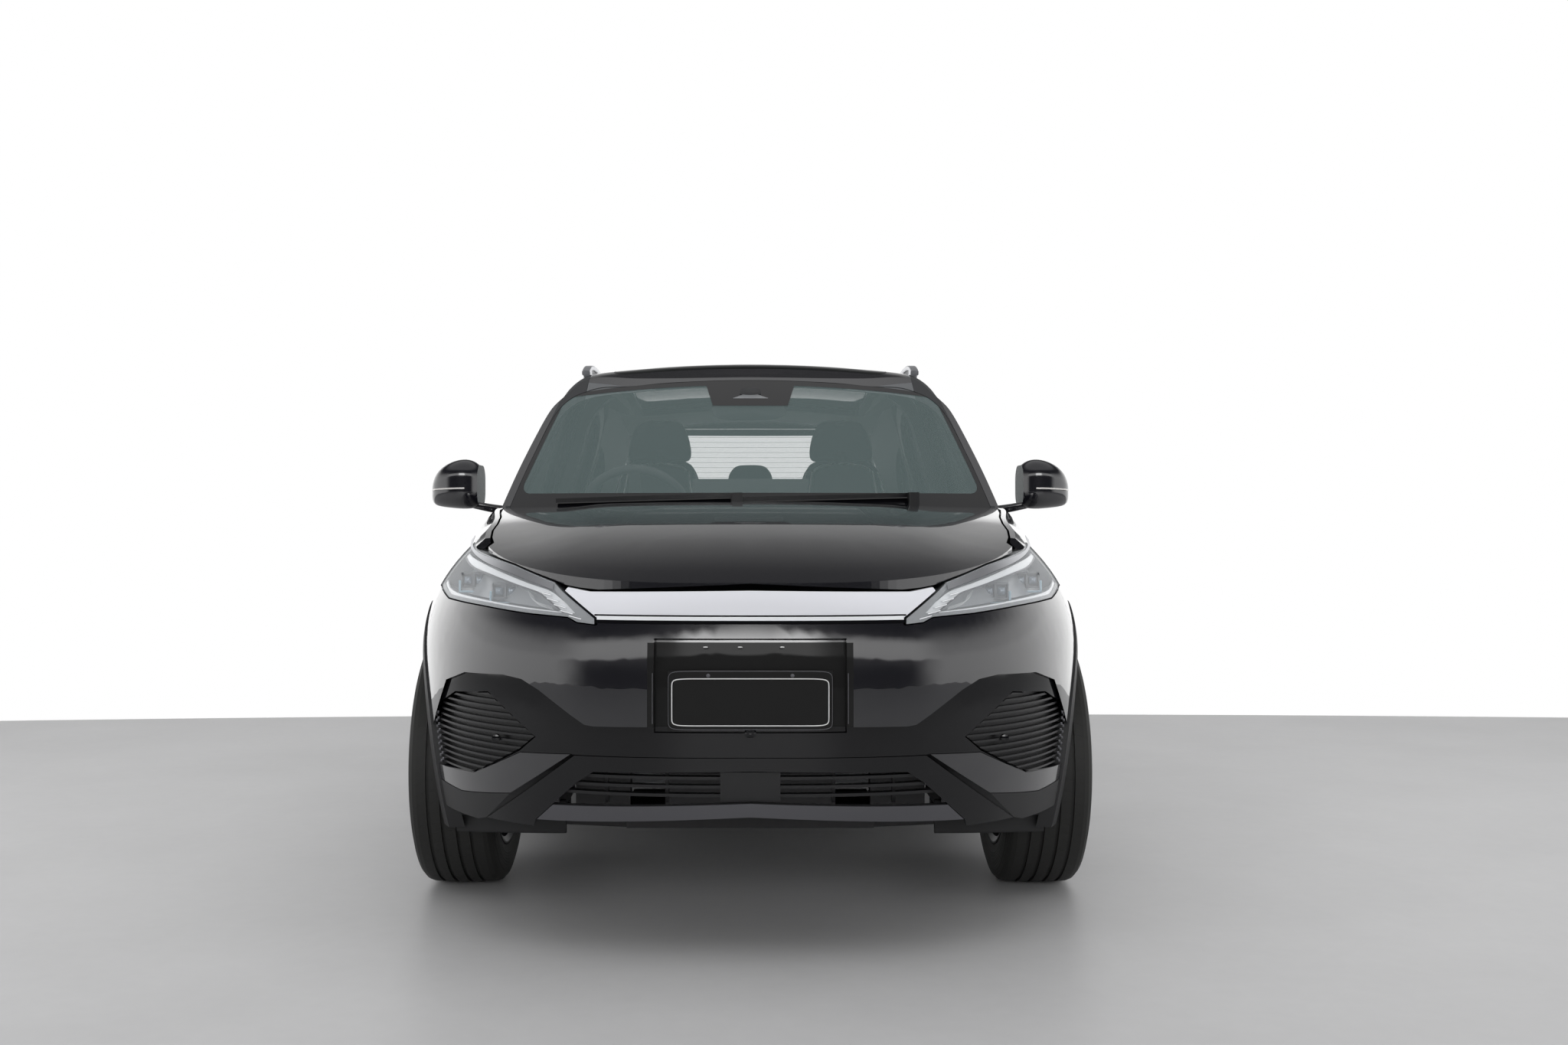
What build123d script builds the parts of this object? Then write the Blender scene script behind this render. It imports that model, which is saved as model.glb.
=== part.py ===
from build123d import *
import math
import os

# Electric crossover, five doors, right-hand drive. All sizes in millimetres.
# Frame: +Z up with Z = 0 on the ground, the nose towards -Y, Y = 0 half way along the car,
# +X to the car's left-hand side (the kerb side of this right-hand-drive car).
# The body is a set of separate panels cut from three hulls: a lower hull (bumpers, fenders,
# doors up to the belt line), a greenhouse hull (pillars, roof) and a bonnet block. Each hull is
# made at several insets, and a panel is what lies between two of them inside its own outline.

# ---- driving dimensions: overall ----
length = 4455.0
body_width = 1868.0
wheelbase = 2720.0
front_overhang = 875.0
track = 1575.0
tyre_radius = 347.0
rim_radius = 232.0

nose_y = -length / 2
tail_y = length / 2
front_axle_y = nose_y + front_overhang
rear_axle_y = front_axle_y + wheelbase
axle_z = tyre_radius
half_width = body_width / 2
half_track = track / 2

# ---- driving dimensions: panels ----
panel_gap = 6.0              # between panels that move
seam = 1.5                   # between panels that are fixed
skin = 26.0                  # fenders, bumpers, quarter panels
door_thickness = 95.0
frame_thickness = 48.0       # window frames and pillars
roof_thickness = 32.0
glass_thickness = 5.0
arch_radius = tyre_radius + 46.0
arch_lip = 46.0

# ---- driving dimensions: hulls ----
hull_bottom = 150.0
hull_top = 1140.0
front_bend_y = front_axle_y + 452.0   # where the flanks start to turn in towards the nose
rear_bend_y = rear_axle_y - 118.0
door_split_y = 208.0         # plane between front and rear door, where the hull halves meet
roof_front_y = -202.0
roof_front_z = 1530.0
roof_crest_y = 200.0
roof_crest_z = 1612.0
roof_rear_y = 1960.0
roof_rear_z = 1522.0
belt_z = 1035.0
belt_half = 819.0            # greenhouse half width at the belt
screen_foot_y = -985.0       # windscreen centre line at the cowl
screen_foot_z = 1060.0


def smooth(t):
    """0 below 0, 1 above 1, and an S curve between."""
    t = min(1.0, max(0.0, t))
    return t * t * (3 - 2 * t)


def ramp(value, start, end):
    return smooth((value - start) / (end - start))


# ---- outlines to prisms ----
def outline(points, radius=0.0):
    """A closed face from corner points, its corners rounded where a radius is given."""
    if radius:
        return make_face(FilletPolyline(*points, radius=radius, close=True))
    return make_face(Polyline(*points, close=True))


def prism_yz(points, x_low, x_high, radius=0.0):
    face = Plane.YZ * outline(points, radius)
    return Pos(x_low, 0, 0) * extrude(face, x_high - x_low, dir=(1, 0, 0))


def prism_xz(points, y_low, y_high, radius=0.0):
    face = Plane(origin=(0, 0, 0), x_dir=(1, 0, 0), z_dir=(0, -1, 0)) * outline(points, radius)
    return Pos(0, y_low, 0) * extrude(face, y_high - y_low, dir=(0, 1, 0))


def prism_xy(points, z_low, z_high, radius=0.0):
    return Pos(0, 0, z_low) * extrude(outline(points, radius), z_high - z_low)


def span(x, y, z):
    """A box from its low and high limits on each axis."""
    size = [x[1] - x[0], y[1] - y[0], z[1] - z[0]]
    middle = [(v[0] + v[1]) / 2 for v in (x, y, z)]
    return Pos(*middle) * Box(*size)


def drum(radius, x_low, x_high, y, z):
    """A cylinder along X."""
    return Pos((x_low + x_high) / 2, y, z) * Rot(0, 90, 0) * Cylinder(radius, x_high - x_low)


def pair(shape):
    """The shape and its mirror image on the other side of the car."""
    return [*shape.solids(), *mirror(shape, Plane.YZ).solids()]


def other(shape):
    return mirror(shape, Plane.YZ)


# ---- lower hull ----
def side_x(y, z):
    """Half width of the flank: upright to 700 mm, a cubic shoulder above, a tuck below."""
    drop = -20 + 85 * ramp(-y, 700, 1400) - 25 * ramp(y, 0, 1300)
    over = max(0.0, z + drop - 700)
    under = max(0.0, 600 - z)
    waist = 11 * math.exp(-(((z - 500 - 0.05 * y) / 95) ** 2)) * ramp(y, -1000, -500) * ramp(-y, -1150, -700)
    return half_width - 3 - 3.26e-6 * over**3 - 2.4e-4 * under**2 - waist


def nose_profile(z):
    """The face at the centre line: foremost at 560 mm, leaning back above and below."""
    up = max(0.0, z - 560) / 300
    down = max(0.0, 560 - z) / 300
    return nose_y + 57 * up**3 + 45 * down**3


def tail_profile(z):
    up = max(0.0, z - 620) / 300
    down = max(0.0, 560 - z) / 300
    return tail_y - 26 * up**2.2 - 40 * down**2.5


def corner_angles(power, half, depth, count):
    """Angles that space points evenly along a superellipse quarter."""
    fine = [math.radians(90 * i / 300) for i in range(301)]
    place = [(half * math.sin(a) ** (2 / power), depth * max(0.0, math.cos(a)) ** (2 / power)) for a in fine]
    run = [0.0]
    for p, q in zip(place, place[1:]):
        run.append(run[-1] + math.dist(p, q))
    angles, k = [], 0
    for i in range(count + 1):
        target = run[-1] * i / count
        while k < 299 and run[k + 1] < target:
            k += 1
        part = (target - run[k]) / (run[k + 1] - run[k])
        angles.append(fine[k] + part * (fine[k + 1] - fine[k]))
    return angles


def hull_ring(z, inset, end_y, bend_y, powers, turns=12, sides=6):
    """One level of half the hull: a flank, round the nose or tail as a superellipse, the other flank."""
    power = powers[0] + (powers[1] - powers[0]) * ramp(z, 650, 950)
    depth = end_y - bend_y
    half = []
    for a in corner_angles(power, side_x(bend_y, z) - inset, abs(depth), turns):
        y = bend_y + depth * max(0.0, math.cos(a)) ** (2 / power)
        half.append((max(0.0, side_x(y, z) - inset) * math.sin(a) ** (2 / power), y))
    last_y = door_split_y + math.copysign(20 + 0.3 * inset, door_split_y - bend_y)
    for i in range(1, sides + 1):
        y = bend_y + (last_y - bend_y) * i / sides
        half.append((side_x(y, z) - inset, y))
    return [Vector(x, y, z) for x, y in [(-x, y) for x, y in reversed(half[1:])] + half]


def front_ring(z, inset):
    return hull_ring(z, inset, nose_profile(z) + inset, front_bend_y, (2.75, 2.35))


def rear_ring(z, inset):
    return hull_ring(z, inset, tail_profile(z) - inset, rear_bend_y, (3.3, 4.2))


def marks(row):
    """How far along a row each point is, from 0 to 1. Rows of one loft share these."""
    run = [0.0]
    for p, q in zip(row, row[1:]):
        run.append(run[-1] + (q - p).length)
    return [r / run[-1] for r in run]


def curve(row, places):
    return Edge.make_spline(row, parameters=places)


def skin_loop(outer, inner, places):
    """A closed wire: along the outer points, across, back along the inner points."""
    return Wire([curve(outer, places), Edge.make_line(outer[-1], inner[-1]),
                 curve(inner[::-1], [1 - p for p in places[::-1]]), Edge.make_line(inner[0], outer[0])])


# ---- greenhouse hull ----
def roof_z(y):
    if y < roof_crest_y:
        t = (roof_crest_y - y) / (roof_crest_y - roof_front_y)
        return roof_crest_z - (roof_crest_z - roof_front_z) * min(t, 1.9) ** 2.4
    t = (y - roof_crest_y) / (roof_rear_y - roof_crest_y)
    return roof_crest_z - (roof_crest_z - roof_rear_z) * t**2


def glass_x(y, z):
    """Half width of the greenhouse: leans in with height, narrows to the nose and the tail."""
    up = z - belt_z
    base = belt_half - 22 * (max(0.0, -y - 100) / 730) ** 2 - 130 * (max(0.0, y - 900) / 1200) ** 2
    return base - 0.265 * up - 0.00008 * up * abs(up)


def house_ring(y, inset, top_inset):
    top = roof_z(max(y, roof_front_y)) - top_inset
    crown = 46.0
    low_z = 960.0 - 0.3 * inset
    corner_z = top - crown
    corner_x = glass_x(y, corner_z + top_inset) - inset
    reach = 95.0
    half = []
    for i in range(6):
        z = low_z + (corner_z - reach - low_z) * i / 5
        half.append((glass_x(y, z) - inset, z))
    start = half[-1]
    flat_x = corner_x - reach
    end = (flat_x, top - crown * (flat_x / corner_x) ** 2)
    for i in range(1, 5):
        t = i / 5
        x = (1 - t) ** 2 * start[0] + 2 * t * (1 - t) * corner_x + t**2 * end[0]
        z = (1 - t) ** 2 * start[1] + 2 * t * (1 - t) * corner_z + t**2 * end[1]
        half.append((x, z))
    for i in range(6):
        x = flat_x * (1 - i / 5)
        half.append((x, top - crown * (x / corner_x) ** 2))
    whole = half + [(-x, z) for x, z in reversed(half[:-1])]
    return [Vector(x, y, z) for x, z in whole]


def screen_y(x, z):
    """The windscreen: raked, bowed a little outwards, and curved in plan."""
    rise = z - screen_foot_z
    bow = 20 * (1 - ((rise - 235) / 235) ** 2)
    return screen_foot_y + rise * 783 / 470 - bow + 0.00027 * x * x


def backlight_y(x, z):
    """The rear window, with the same bow and plan curve."""
    rise = z - 1110
    return 2146 - rise * 0.46 - 0.00012 * rise * abs(rise) - 0.00022 * x * x


def screen_row(edge_y, z, offset):
    return [Vector(x, edge_y(x, z) + offset, z) for x in range(-900, 901, 150)]


def even(count):
    return [i / (count - 1) for i in range(count)]


def screen_slab(edge_y, near, far):
    """The sheet between two offsets of a window surface."""
    return Solid.make_loft([skin_loop(screen_row(edge_y, z, near), screen_row(edge_y, z, far), even(13))
                            for z in range(940, 1641, 100)])


def screen_block(edge_y, far_y, offset=0.0):
    """Everything behind (or ahead of) a window surface, up to far_y."""
    loops = []
    for z in range(940, 1641, 100):
        row = screen_row(edge_y, z, offset)
        loops.append(Wire([curve(row, even(13)), Edge.make_line(row[-1], Vector(900, far_y, z)),
                           Edge.make_line(Vector(900, far_y, z), Vector(-900, far_y, z)),
                           Edge.make_line(Vector(-900, far_y, z), row[0])]))
    return Solid.make_loft(loops)


def window_edge(edge_y, inset, top_inset, low_z):
    """Front view of where a window surface meets the greenhouse, from the centre line down to low_z."""
    points = []
    for i in range(len(house_ring(0, 0, 0)) // 2, -1, -1):
        y = edge_y(0, 1300)
        for _ in range(40):
            place = house_ring(y, inset, top_inset)[i]
            y = 0.5 * y + 0.5 * edge_y(place.X, place.Z)
        if place.Z > low_z + 25:
            points.append((place.X, place.Z))
    x = points[-1][0]
    for _ in range(40):
        x = 0.5 * x + 0.5 * (glass_x(edge_y(x, low_z), low_z) - inset)
    return points + [(x, low_z)]


def window_prism(half, y_low, y_high):
    """A prism along Y with one smooth curve through a mirrored half outline and a straight foot."""
    points = [(-x, z) for x, z in reversed(half) if x > 0] + half
    face = make_face([Spline(*points), Line(points[-1], points[0])])
    face = Plane(origin=(0, 0, 0), x_dir=(1, 0, 0), z_dir=(0, -1, 0)) * face
    return Pos(0, y_low, 0) * extrude(face, y_high - y_low, dir=(0, 1, 0))


# ---- bonnet block ----
bonnet_front_y = nose_y + 60.0
bonnet_front_z = 868.0
bonnet_hinge_y = -842.0


def bonnet_z(x, y):
    """The bonnet: climbs steeply from the nose, then flattens, and falls to its sides."""
    u = (y - bonnet_front_y) / 1180
    line = bonnet_front_z + 150 * (1 - (1 - min(u, 1.0)) ** 2) + 54 * u
    crown = 18 + 45 * (bonnet_hinge_y - y) / 1315
    dome = 7 * ramp(560 - abs(x), 0, 130) * ramp(u, 0.05, 0.6)
    return line - crown * (x / 790) ** 2 + dome - 7 * ramp(u, 0.05, 0.6)


def bonnet_row(y, offset):
    return [Vector(x, y, bonnet_z(x, y) - offset) for x in range(-960, 961, 80)]


bonnet_stations = [bonnet_front_y - 90 + 156 * i for i in range(11)]


def bonnet_sheet(upper, lower):
    return Solid.make_loft([skin_loop(bonnet_row(y, upper), bonnet_row(y, lower),
                                      even(25)) for y in bonnet_stations])


def below_bonnet(offset):
    """Everything below the bonnet surface lowered by an offset."""
    loops = []
    for y in bonnet_stations:
        row = bonnet_row(y, offset)
        foot = [Vector(960, y, 100), Vector(-960, y, 100)]
        loops.append(Wire([curve(row, even(25)), Edge.make_line(row[-1], foot[0]),
                           Edge.make_line(foot[0], foot[1]), Edge.make_line(foot[1], row[0])]))
    return Solid.make_loft(loops)


# ---- skins: what lies between two insets of a hull, each made once ----
made = {}
heights = [hull_bottom + (hull_top - hull_bottom) * i / 12 for i in range(13)]
stations = [-1060, -900, -740, -580, -420, -300, -202, -90, 60, 260, 480, 720, 980, 1250, 1500, 1750, 1980,
            2200]


def thick(which, outer, inner, half=True, tops=None):
    """A hull's skin between two insets: the left half only, or both."""
    tops = tops or (outer / 50, inner / 50)
    key = (which, outer, inner, half, tops)
    if key not in made:
        loops, places = [], None
        for place in stations if which == "house" else heights:
            if which == "house":
                rows = [house_ring(place, inset, top) for inset, top in zip((outer, inner), tops)]
                rows = [row[:len(row) // 2 + 1] if half else row for row in rows]
            else:
                ring = front_ring if which == "nose" else rear_ring
                rows = [ring(place, inset) for inset in (outer, inner)]
                rows = [row[len(row) // 2:] if half else row for row in rows]
            places = places or marks(rows[0])
            loops.append(skin_loop(*rows, places))
        made[key] = Solid.make_loft(loops)
    return made[key]


def cut(which, outer, inner, tool, half=True, tops=None):
    """The part of a hull's skin that lies inside a tool."""
    return thick(which, outer, inner, half, tops) & tool


def belt(y):
    """Height of the belt line, rising to the rear."""
    return belt_z - 5 + 38 * (y + 860) / 2110


def nose_x(y, z):
    """Half width of the front hull at a place on either side of the bend."""
    if y > front_bend_y:
        return side_x(y, z)
    power = 2.75 - 0.4 * ramp(z, 650, 950)
    t = min(1.0, (front_bend_y - y) / (front_bend_y - nose_profile(z)))
    return side_x(y, z) * (1 - t**power) ** (1 / power)


def nose_face_y(x, z):
    """Where the front hull stands at a distance from the centre line."""
    power = 2.75 - 0.4 * ramp(z, 650, 950)
    y = nose_profile(z)
    for _ in range(30):
        share = min(1.0, x / side_x(y, z))
        y = front_bend_y + (nose_profile(z) - front_bend_y) * (1 - share**power) ** (1 / power)
    return y


def shoulder_x(y):
    """Half width where the flank meets the bonnet surface."""
    x = 780.0
    for _ in range(12):
        x = 0.5 * x + 0.5 * nose_x(y, bonnet_z(x, y))
    return x


def whole(half):
    """A mirrored outline from its half on +X, which starts and ends on the centre line."""
    return half + [(-x, z) for x, z in reversed(half) if x > 0]


# ================= front of the car =================
bonnet_thickness = 24.0
bonnet_inboard = 20.0        # shut line, in from the shoulder
bonnet_front_line = [(0, 867), (372, 850), (436, 860), (470, 871), (581, 907), (723, 939), (800, 980),
                     (960, 1060)]
lamp_outline = [(910, 839), (838, 837), (777, 814), (655, 806), (531, 795), (422, 789), (399, 778),
                (358, 774),
                (359, 786), (385, 805), (442, 846), (464, 865), (581, 902), (723, 934), (800, 975),
                (910, 1028)]
lamp_rear_y = -1492.0
lens_thickness = 3.5
lamp_depth = 75.0
bar_outline = [(0, 777), (350.5, 777), (351.5, 788), (379, 808), (434, 847.5), (428, 855), (372, 846),
               (0, 851)]
bar_depth = 24.0
bumper_seam = [(-1588, 850), (-1598, 828), (-1690, 560)]    # where bumper meets fender, in side view
brow = [(0, 548), (357, 543), (378, 546), (411, 567), (488, 620), (532, 643), (581, 650), (691, 645),
        (753, 618),
        (793, 530), (828, 447), (843, 389)]
wing_outline = [(536, 472), (412, 477), (563, 373), (706, 352), (860, 366), (850, 391), (664, 406)]
lip_outline = [(565, 371), (706, 350), (900, 366), (900, 290), (660, 290), (634, 299)]
frame_half = [(0, 476), (402, 475), (632, 299), (505, 299), (500, 316), (457.5, 357), (396, 413.5),
              (357, 440), (0, 446)]
skid_grown = [(0, 372.4), (455.5, 356.4), (497, 316.5), (0, 340.5)]
insert_outline = [(725, 593), (623, 606), (497, 511), (538, 475), (659, 406), (782, 378), (806, 470),
                  (775, 560)]
trim_inset = 7.0
plate_width = 372.0
plate_height = 134.0
plate_z = 606.0
recess_half = 218.0
recess_low = 532.0
recess_high = 745.0
recess_depth = 18.0
radar_half = 68.0

door_front_y = -852.0
rear_door_front_y = door_split_y + panel_gap / 2
front_door_rear_y = door_split_y - panel_gap / 2
sill_top = 262.0
door_bottom = sill_top + panel_gap


bonnet_rear = [(0, -1012), (380, -990), (640, -925)]


def bonnet_plan(amount):
    """The rear of the bonnet seen from above, grown by a gap."""
    half = [(x, y + amount) for x, y in bonnet_rear] + [(bonnet_edge(-862) + amount, -862 + amount),
                                                        (bonnet_edge(-862) + amount, -1300)]
    return half + [(-x, y) for x, y in reversed(half) if x > 0]


def bonnet_edge(y):
    return shoulder_x(y) - bonnet_inboard


def bonnet_front(x):
    """Where the bonnet's surface meets the front hull."""
    y = -2150.0
    for _ in range(30):
        y = 0.5 * y + 0.5 * nose_face_y(x, bonnet_z(x, y))
    return y


def bonnet_node():
    line = bonnet_front_line
    above = prism_xz(line + [(960, 1250), (-960, 1250)] + [(-x, z) for x, z in reversed(line[1:])], -2300,
                     -700)
    edge = [(bonnet_edge(y) - 4 * (y > -1000), y) for y in (-862, -950, -1080, -1220, -1360, -1480, -1580,
                                                            -1660)]
    half = bonnet_rear + edge + [(x, bonnet_front(x)) for x in range(680, -1, -20)]
    plan = prism_xy(half + [(-x, y) for x, y in reversed(half[1:-1])], 700, 1200)
    return (bonnet_sheet(0, bonnet_thickness) & plan) & above


def seam_side(shift):
    """Side-view points of the bumper and fender seam, moved by a distance along Y."""
    return [(y + shift, z) for y, z in bumper_seam]


def fender_node():
    """The left fender: its outer face from bumper to door, and its lip beside the bonnet."""
    rear_y = door_front_y - panel_gap
    side = prism_yz([(-1588, 1150)] + seam_side(seam / 2) + [(-1700, 430), (-1600, 262),
                                                            (rear_y, 262), (rear_y, 1150)], 300, 1000)
    panel = cut("nose", 0, skin, side) & below_bonnet(0)
    inner = [(bonnet_edge(min(y, -862)) + panel_gap, y) for y in
             (-600, -950, -1080, -1220, -1360, -1480, -1580, -1660)]
    room = prism_xy([(0, -600)] + inner + [(inner[-1][0] + 25, -1800), (0, -1800)], 700, 1300)
    panel = panel - (room - below_bonnet(bonnet_thickness + panel_gap))
    panel = panel - drum(arch_radius + arch_lip + seam, 300, 1000, front_axle_y, axle_z)
    return panel - prism_xz(lamp_grown, -2300, lamp_rear_y + seam)


lamp_grown = [(910, 837), (838, 835), (777, 812), (655, 804), (531, 793), (422, 787), (399, 776), (352, 772),
              (352, 788), (380, 807), (436, 850), (460, 868), (581, 905), (723, 937), (800, 978),
              (910, 1032)]


def headlamp_nodes():
    """Left lamp: a clear lens that follows the body, and a hollow housing behind it."""
    region = prism_xz(lamp_outline, -2300, lamp_rear_y)
    lens = cut("nose", 1.0, 1.0 + lens_thickness, region)
    body = cut("nose", 1.3 + lens_thickness, lamp_depth, region)
    pocket_outline = [(830, 846), (775, 822), (655, 814), (531, 803), (432, 797), (405, 797), (450, 838),
                      (474, 860),
                      (586, 893), (723, 925), (790, 958), (830, 970)]
    pocket = cut("nose", -8, lamp_depth - 12, prism_xz(pocket_outline, -2300, lamp_rear_y - 45))
    return lens, body - pocket


def bumper_nodes():
    """The bumper skin and the dark pieces let into it."""
    outline = [(-2400, 200), (-2400, 1000), (-1588, 1000)] + seam_side(-seam / 2)
    outline += [(-1640, 400), (-1560, 200)]
    side = prism_yz(outline, -1000, 1000)
    arch = drum(arch_radius + arch_lip + seam, -1000, 1000, front_axle_y, axle_z)
    half = [(0, 776.4), (350, 776.4), (352, 771), (399, 774.5), (422, 786), (531, 792), (655, 803),
            (777, 811), (838, 834),
            (1000, 836), (1000, 380), (845, 389.5)] + [(x, z + 0.6) for x, z in reversed(brow[:-1])]
    upper = cut("nose", 0, skin, side & prism_xz(whole(half), -2400, -1400), False) - arch
    recess = span((-recess_half, recess_half), (nose_y - 20, nose_y + 200), (recess_low, recess_high))
    upper = upper - cut("nose", -6, recess_depth, recess, False)
    wings = pair(cut("nose", 1.0, skin, side & prism_xz(wing_outline, -2400, -1400)) - arch)

    trim_half = brow[:-1] + [(842, 392.2), (664, 406.6), (536, 472.8), (412, 477.6), (402, 476), (0, 476.7)]
    dark = cut("nose", trim_inset, skin + 8, side & prism_xz(whole(trim_half), -2400, -1400), False) - arch
    insert = prism_xz(insert_outline, -2400, -1400)
    insert = insert + mirror(insert, Plane.YZ)
    dark = dark - insert - cut("nose", -6, recess_depth, recess, False)
    frame = cut("nose", 2.0, skin + 8, side & prism_xz(whole(frame_half), -2400, -1400), False)
    lip = pair(cut("nose", 1.0, skin, side & prism_xz(lip_outline, -2400, -1400)) - arch)
    return upper, wings, dark, frame, lip, side, arch


def insert_nodes(side, arch):
    """Ribbed plates in the corners: a backing with ribs that stand forward of it."""
    inner = [(722, 590), (624, 602), (501, 511), (540, 478.5), (660, 409), (780, 381), (802.5, 470),
             (772, 558)]
    region = side & prism_xz(inner, -2400, -1400)
    plate = cut("nose", 26, 34, region) - arch
    ribs = cut("nose", 12, 30, region & rib_stack(388, 600, 15.0, 5.0)) - arch
    return pair(plate + ribs)


def rib_stack(low, high, pitch, height):
    rows = []
    z = low
    while z < high:
        rows.append(span((300, 1000), (-2400, -1400), (z, z + height)))
        z += pitch
    return Compound(children=rows)


bar_heights = (384.0, 404.0, 424.0)
bar_height = 7.0


def lower_grille_node():
    """Horizontal bars across the opening, uprights behind them, and the sensor plate in the middle."""
    grown = [(0, 444.4), (356.5, 438.4), (394, 412.5), (454.5, 358.4), (0, 374.4)]
    region = prism_xz(whole(grown), -2400, -1700)
    bars = [span((-470, 470), (-2400, -1700), (z, z + bar_height)) for z in bar_heights]
    shape = cut("nose", 20, 44, region & Compound(children=bars), False)
    ribs = [span((x - 4, x + 4), (-2400, -1700), (350, 450)) for x in (-330, -190, 0, 190, 330)]
    shape = shape + cut("nose", 36, 56, region & Compound(children=ribs), False)
    plate = span((-radar_half, radar_half), (-2400, -1700), (376, 442.5))
    return shape + cut("nose", 12, 40, region & plate, False)


# ================= sides =================
arm_tip_x = 903.0            # the fixed arms stop short of the slot's outer wall, which turns inwards
slot_tip_x = 917.0
hinge_heights = (420.0, 760.0)
flange = 10.0                # outer part of a door edge that keeps the narrow gap
relief = 13.0                # how much further back the inner part of its rear edge stops

front_frame = [(-775, 1000), (-775, 1040), (-732, 1062), (-560, 1180), (-385, 1300), (-200, 1424),
               (-90, 1484),
               (60, 1512), (front_door_rear_y, 1519), (front_door_rear_y, 1000)]
front_window = [(-655, 1052), (-500, 1166), (-322, 1290), (-165, 1398), (-62, 1450), (60, 1473),
                (150, 1478), (165, 1060)]
rear_frame = [(rear_door_front_y, 1000), (rear_door_front_y, 1519), (500, 1518), (800, 1502), (960, 1470),
              (1070, 1416), (1120, 1344), (1128, 1290), (1112, 1000)]
rear_window = [(256, 1060), (248, 1479), (500, 1479), (790, 1463), (930, 1432), (1022, 1378), (1062, 1319),
               (1068, 1280), (1054, 1080)]
quarter_window = [(1168, 1100), (1180, 1300), (1172, 1352), (1300, 1322), (1420, 1262), (1490, 1195),
                  (1500, 1150), (1480, 1110)]
rear_door_edge = [(1112, 1100), (1112, 1000), (1098, 860), (1062, 748), (1010, 655), (962, 560),
                  (925.5, 420),
                  (925.5, door_bottom)]


front_hinge_y = door_front_y + 14
rear_hinge_y = rear_door_front_y + 14
hinge_arm = 22.0
seat_gap = 0.3


def hinge_arms(y):
    """Fixed arms that reach out from the post into the door's edge, up to its turning line."""
    return [span((post_outer_x - 12, arm_tip_x), (y - 10, y + 10), (z, z + hinge_arm))
            for z in hinge_heights]


def hinge_rooms(y):
    """Slots for the arms in the door, open inwards and towards its front."""
    return [span((700, slot_tip_x), (y - 60, y + 12), (z - seat_gap, z + hinge_arm + seat_gap))
            for z in hinge_heights]


post_outer_x = 822.0


def door_node(which, low, frame, window, front_y, step):
    """A door as thick as the wall, its rear edge stepped to a flange, with the window frame above."""
    panel = cut(which, 0, door_thickness, prism_yz(low, 300, 1000))
    panel = panel - cut(which, flange, door_thickness + 30, step)
    upper = cut("house", 0, frame_thickness, prism_yz(frame, 300, 1000) & above_belt_line())
    upper = upper - cut("house", flange, frame_thickness + 30, step)
    upper = upper - span((0, roof_half + 16), (-1200, 2200), (1480, 1700))
    door = panel + (upper - prism_yz(window, 300, 1000))
    for room in hinge_rooms(front_y + 14):
        door = door - room
    return door


def door_glass(window):
    return cut("house", 16, 16 + glass_thickness, prism_yz(window, 300, 1000))


def front_door():
    top = [(door_front_y, belt(door_front_y)), (front_door_rear_y, belt(front_door_rear_y))]
    low = [(door_front_y, door_bottom), *top, (front_door_rear_y, door_bottom)]
    step = span((200, 1100), (front_door_rear_y - relief, front_door_rear_y + 60), (100, 1700))
    return door_node("nose", low, front_frame, front_window, door_front_y, step)


def rear_door():
    low = [(rear_door_front_y, door_bottom), (rear_door_front_y, belt(rear_door_front_y)),
           (1112, belt(1112))] \
        + rear_door_edge[1:]
    back = [(960, 1476), (1070, 1422), (1122, 1344), (1128, 1290), (1112, 1100)] \
        + rear_door_edge[1:-1] + [(925.5, 200)]
    step = prism_yz([(y - relief, z) for y, z in back] + [(1300, 200), (1300, 1476)], 200, 1100)
    return door_node("tail", low, rear_frame, rear_window, rear_door_front_y, step)


def rear_door_outline(amount):
    """The rear door seen from the side, grown behind by the shut gap."""
    low = [(y + amount, z) for y, z in rear_door_edge if z < 1000]
    frame = [(y + (amount if y > 900 else 0), z + (amount if z > 1200 else 0)) for y, z in rear_frame[1:-1]]
    return [(150, frame[0][1])] + frame + [(1112 + amount, 1000)] + low + [(925.5 + amount, 180), (150, 180)]


def front_door_outline(amount):
    frame = [(y - (amount if y < 0 else 0), z + (amount if z > 1200 else 0)) for y, z in front_frame[1:-1]]
    return [(door_front_y - amount, 180), (door_front_y - amount, 1020),
            (front_frame[0][0] - amount, 1020)] + frame \
        + [(260, frame[-1][1]), (260, 180)]


# ================= body shell =================
pillar_inset = door_thickness + panel_gap
pillar_depth = 50.0
roof_half = 590.0
tail_seam_y = 1893.0
tailgate_low = [(700, 1075), (722, 1010), (716, 880), (640, 700), (600, 682), (0, 682)]
bumper_top_z = 676.0


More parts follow.
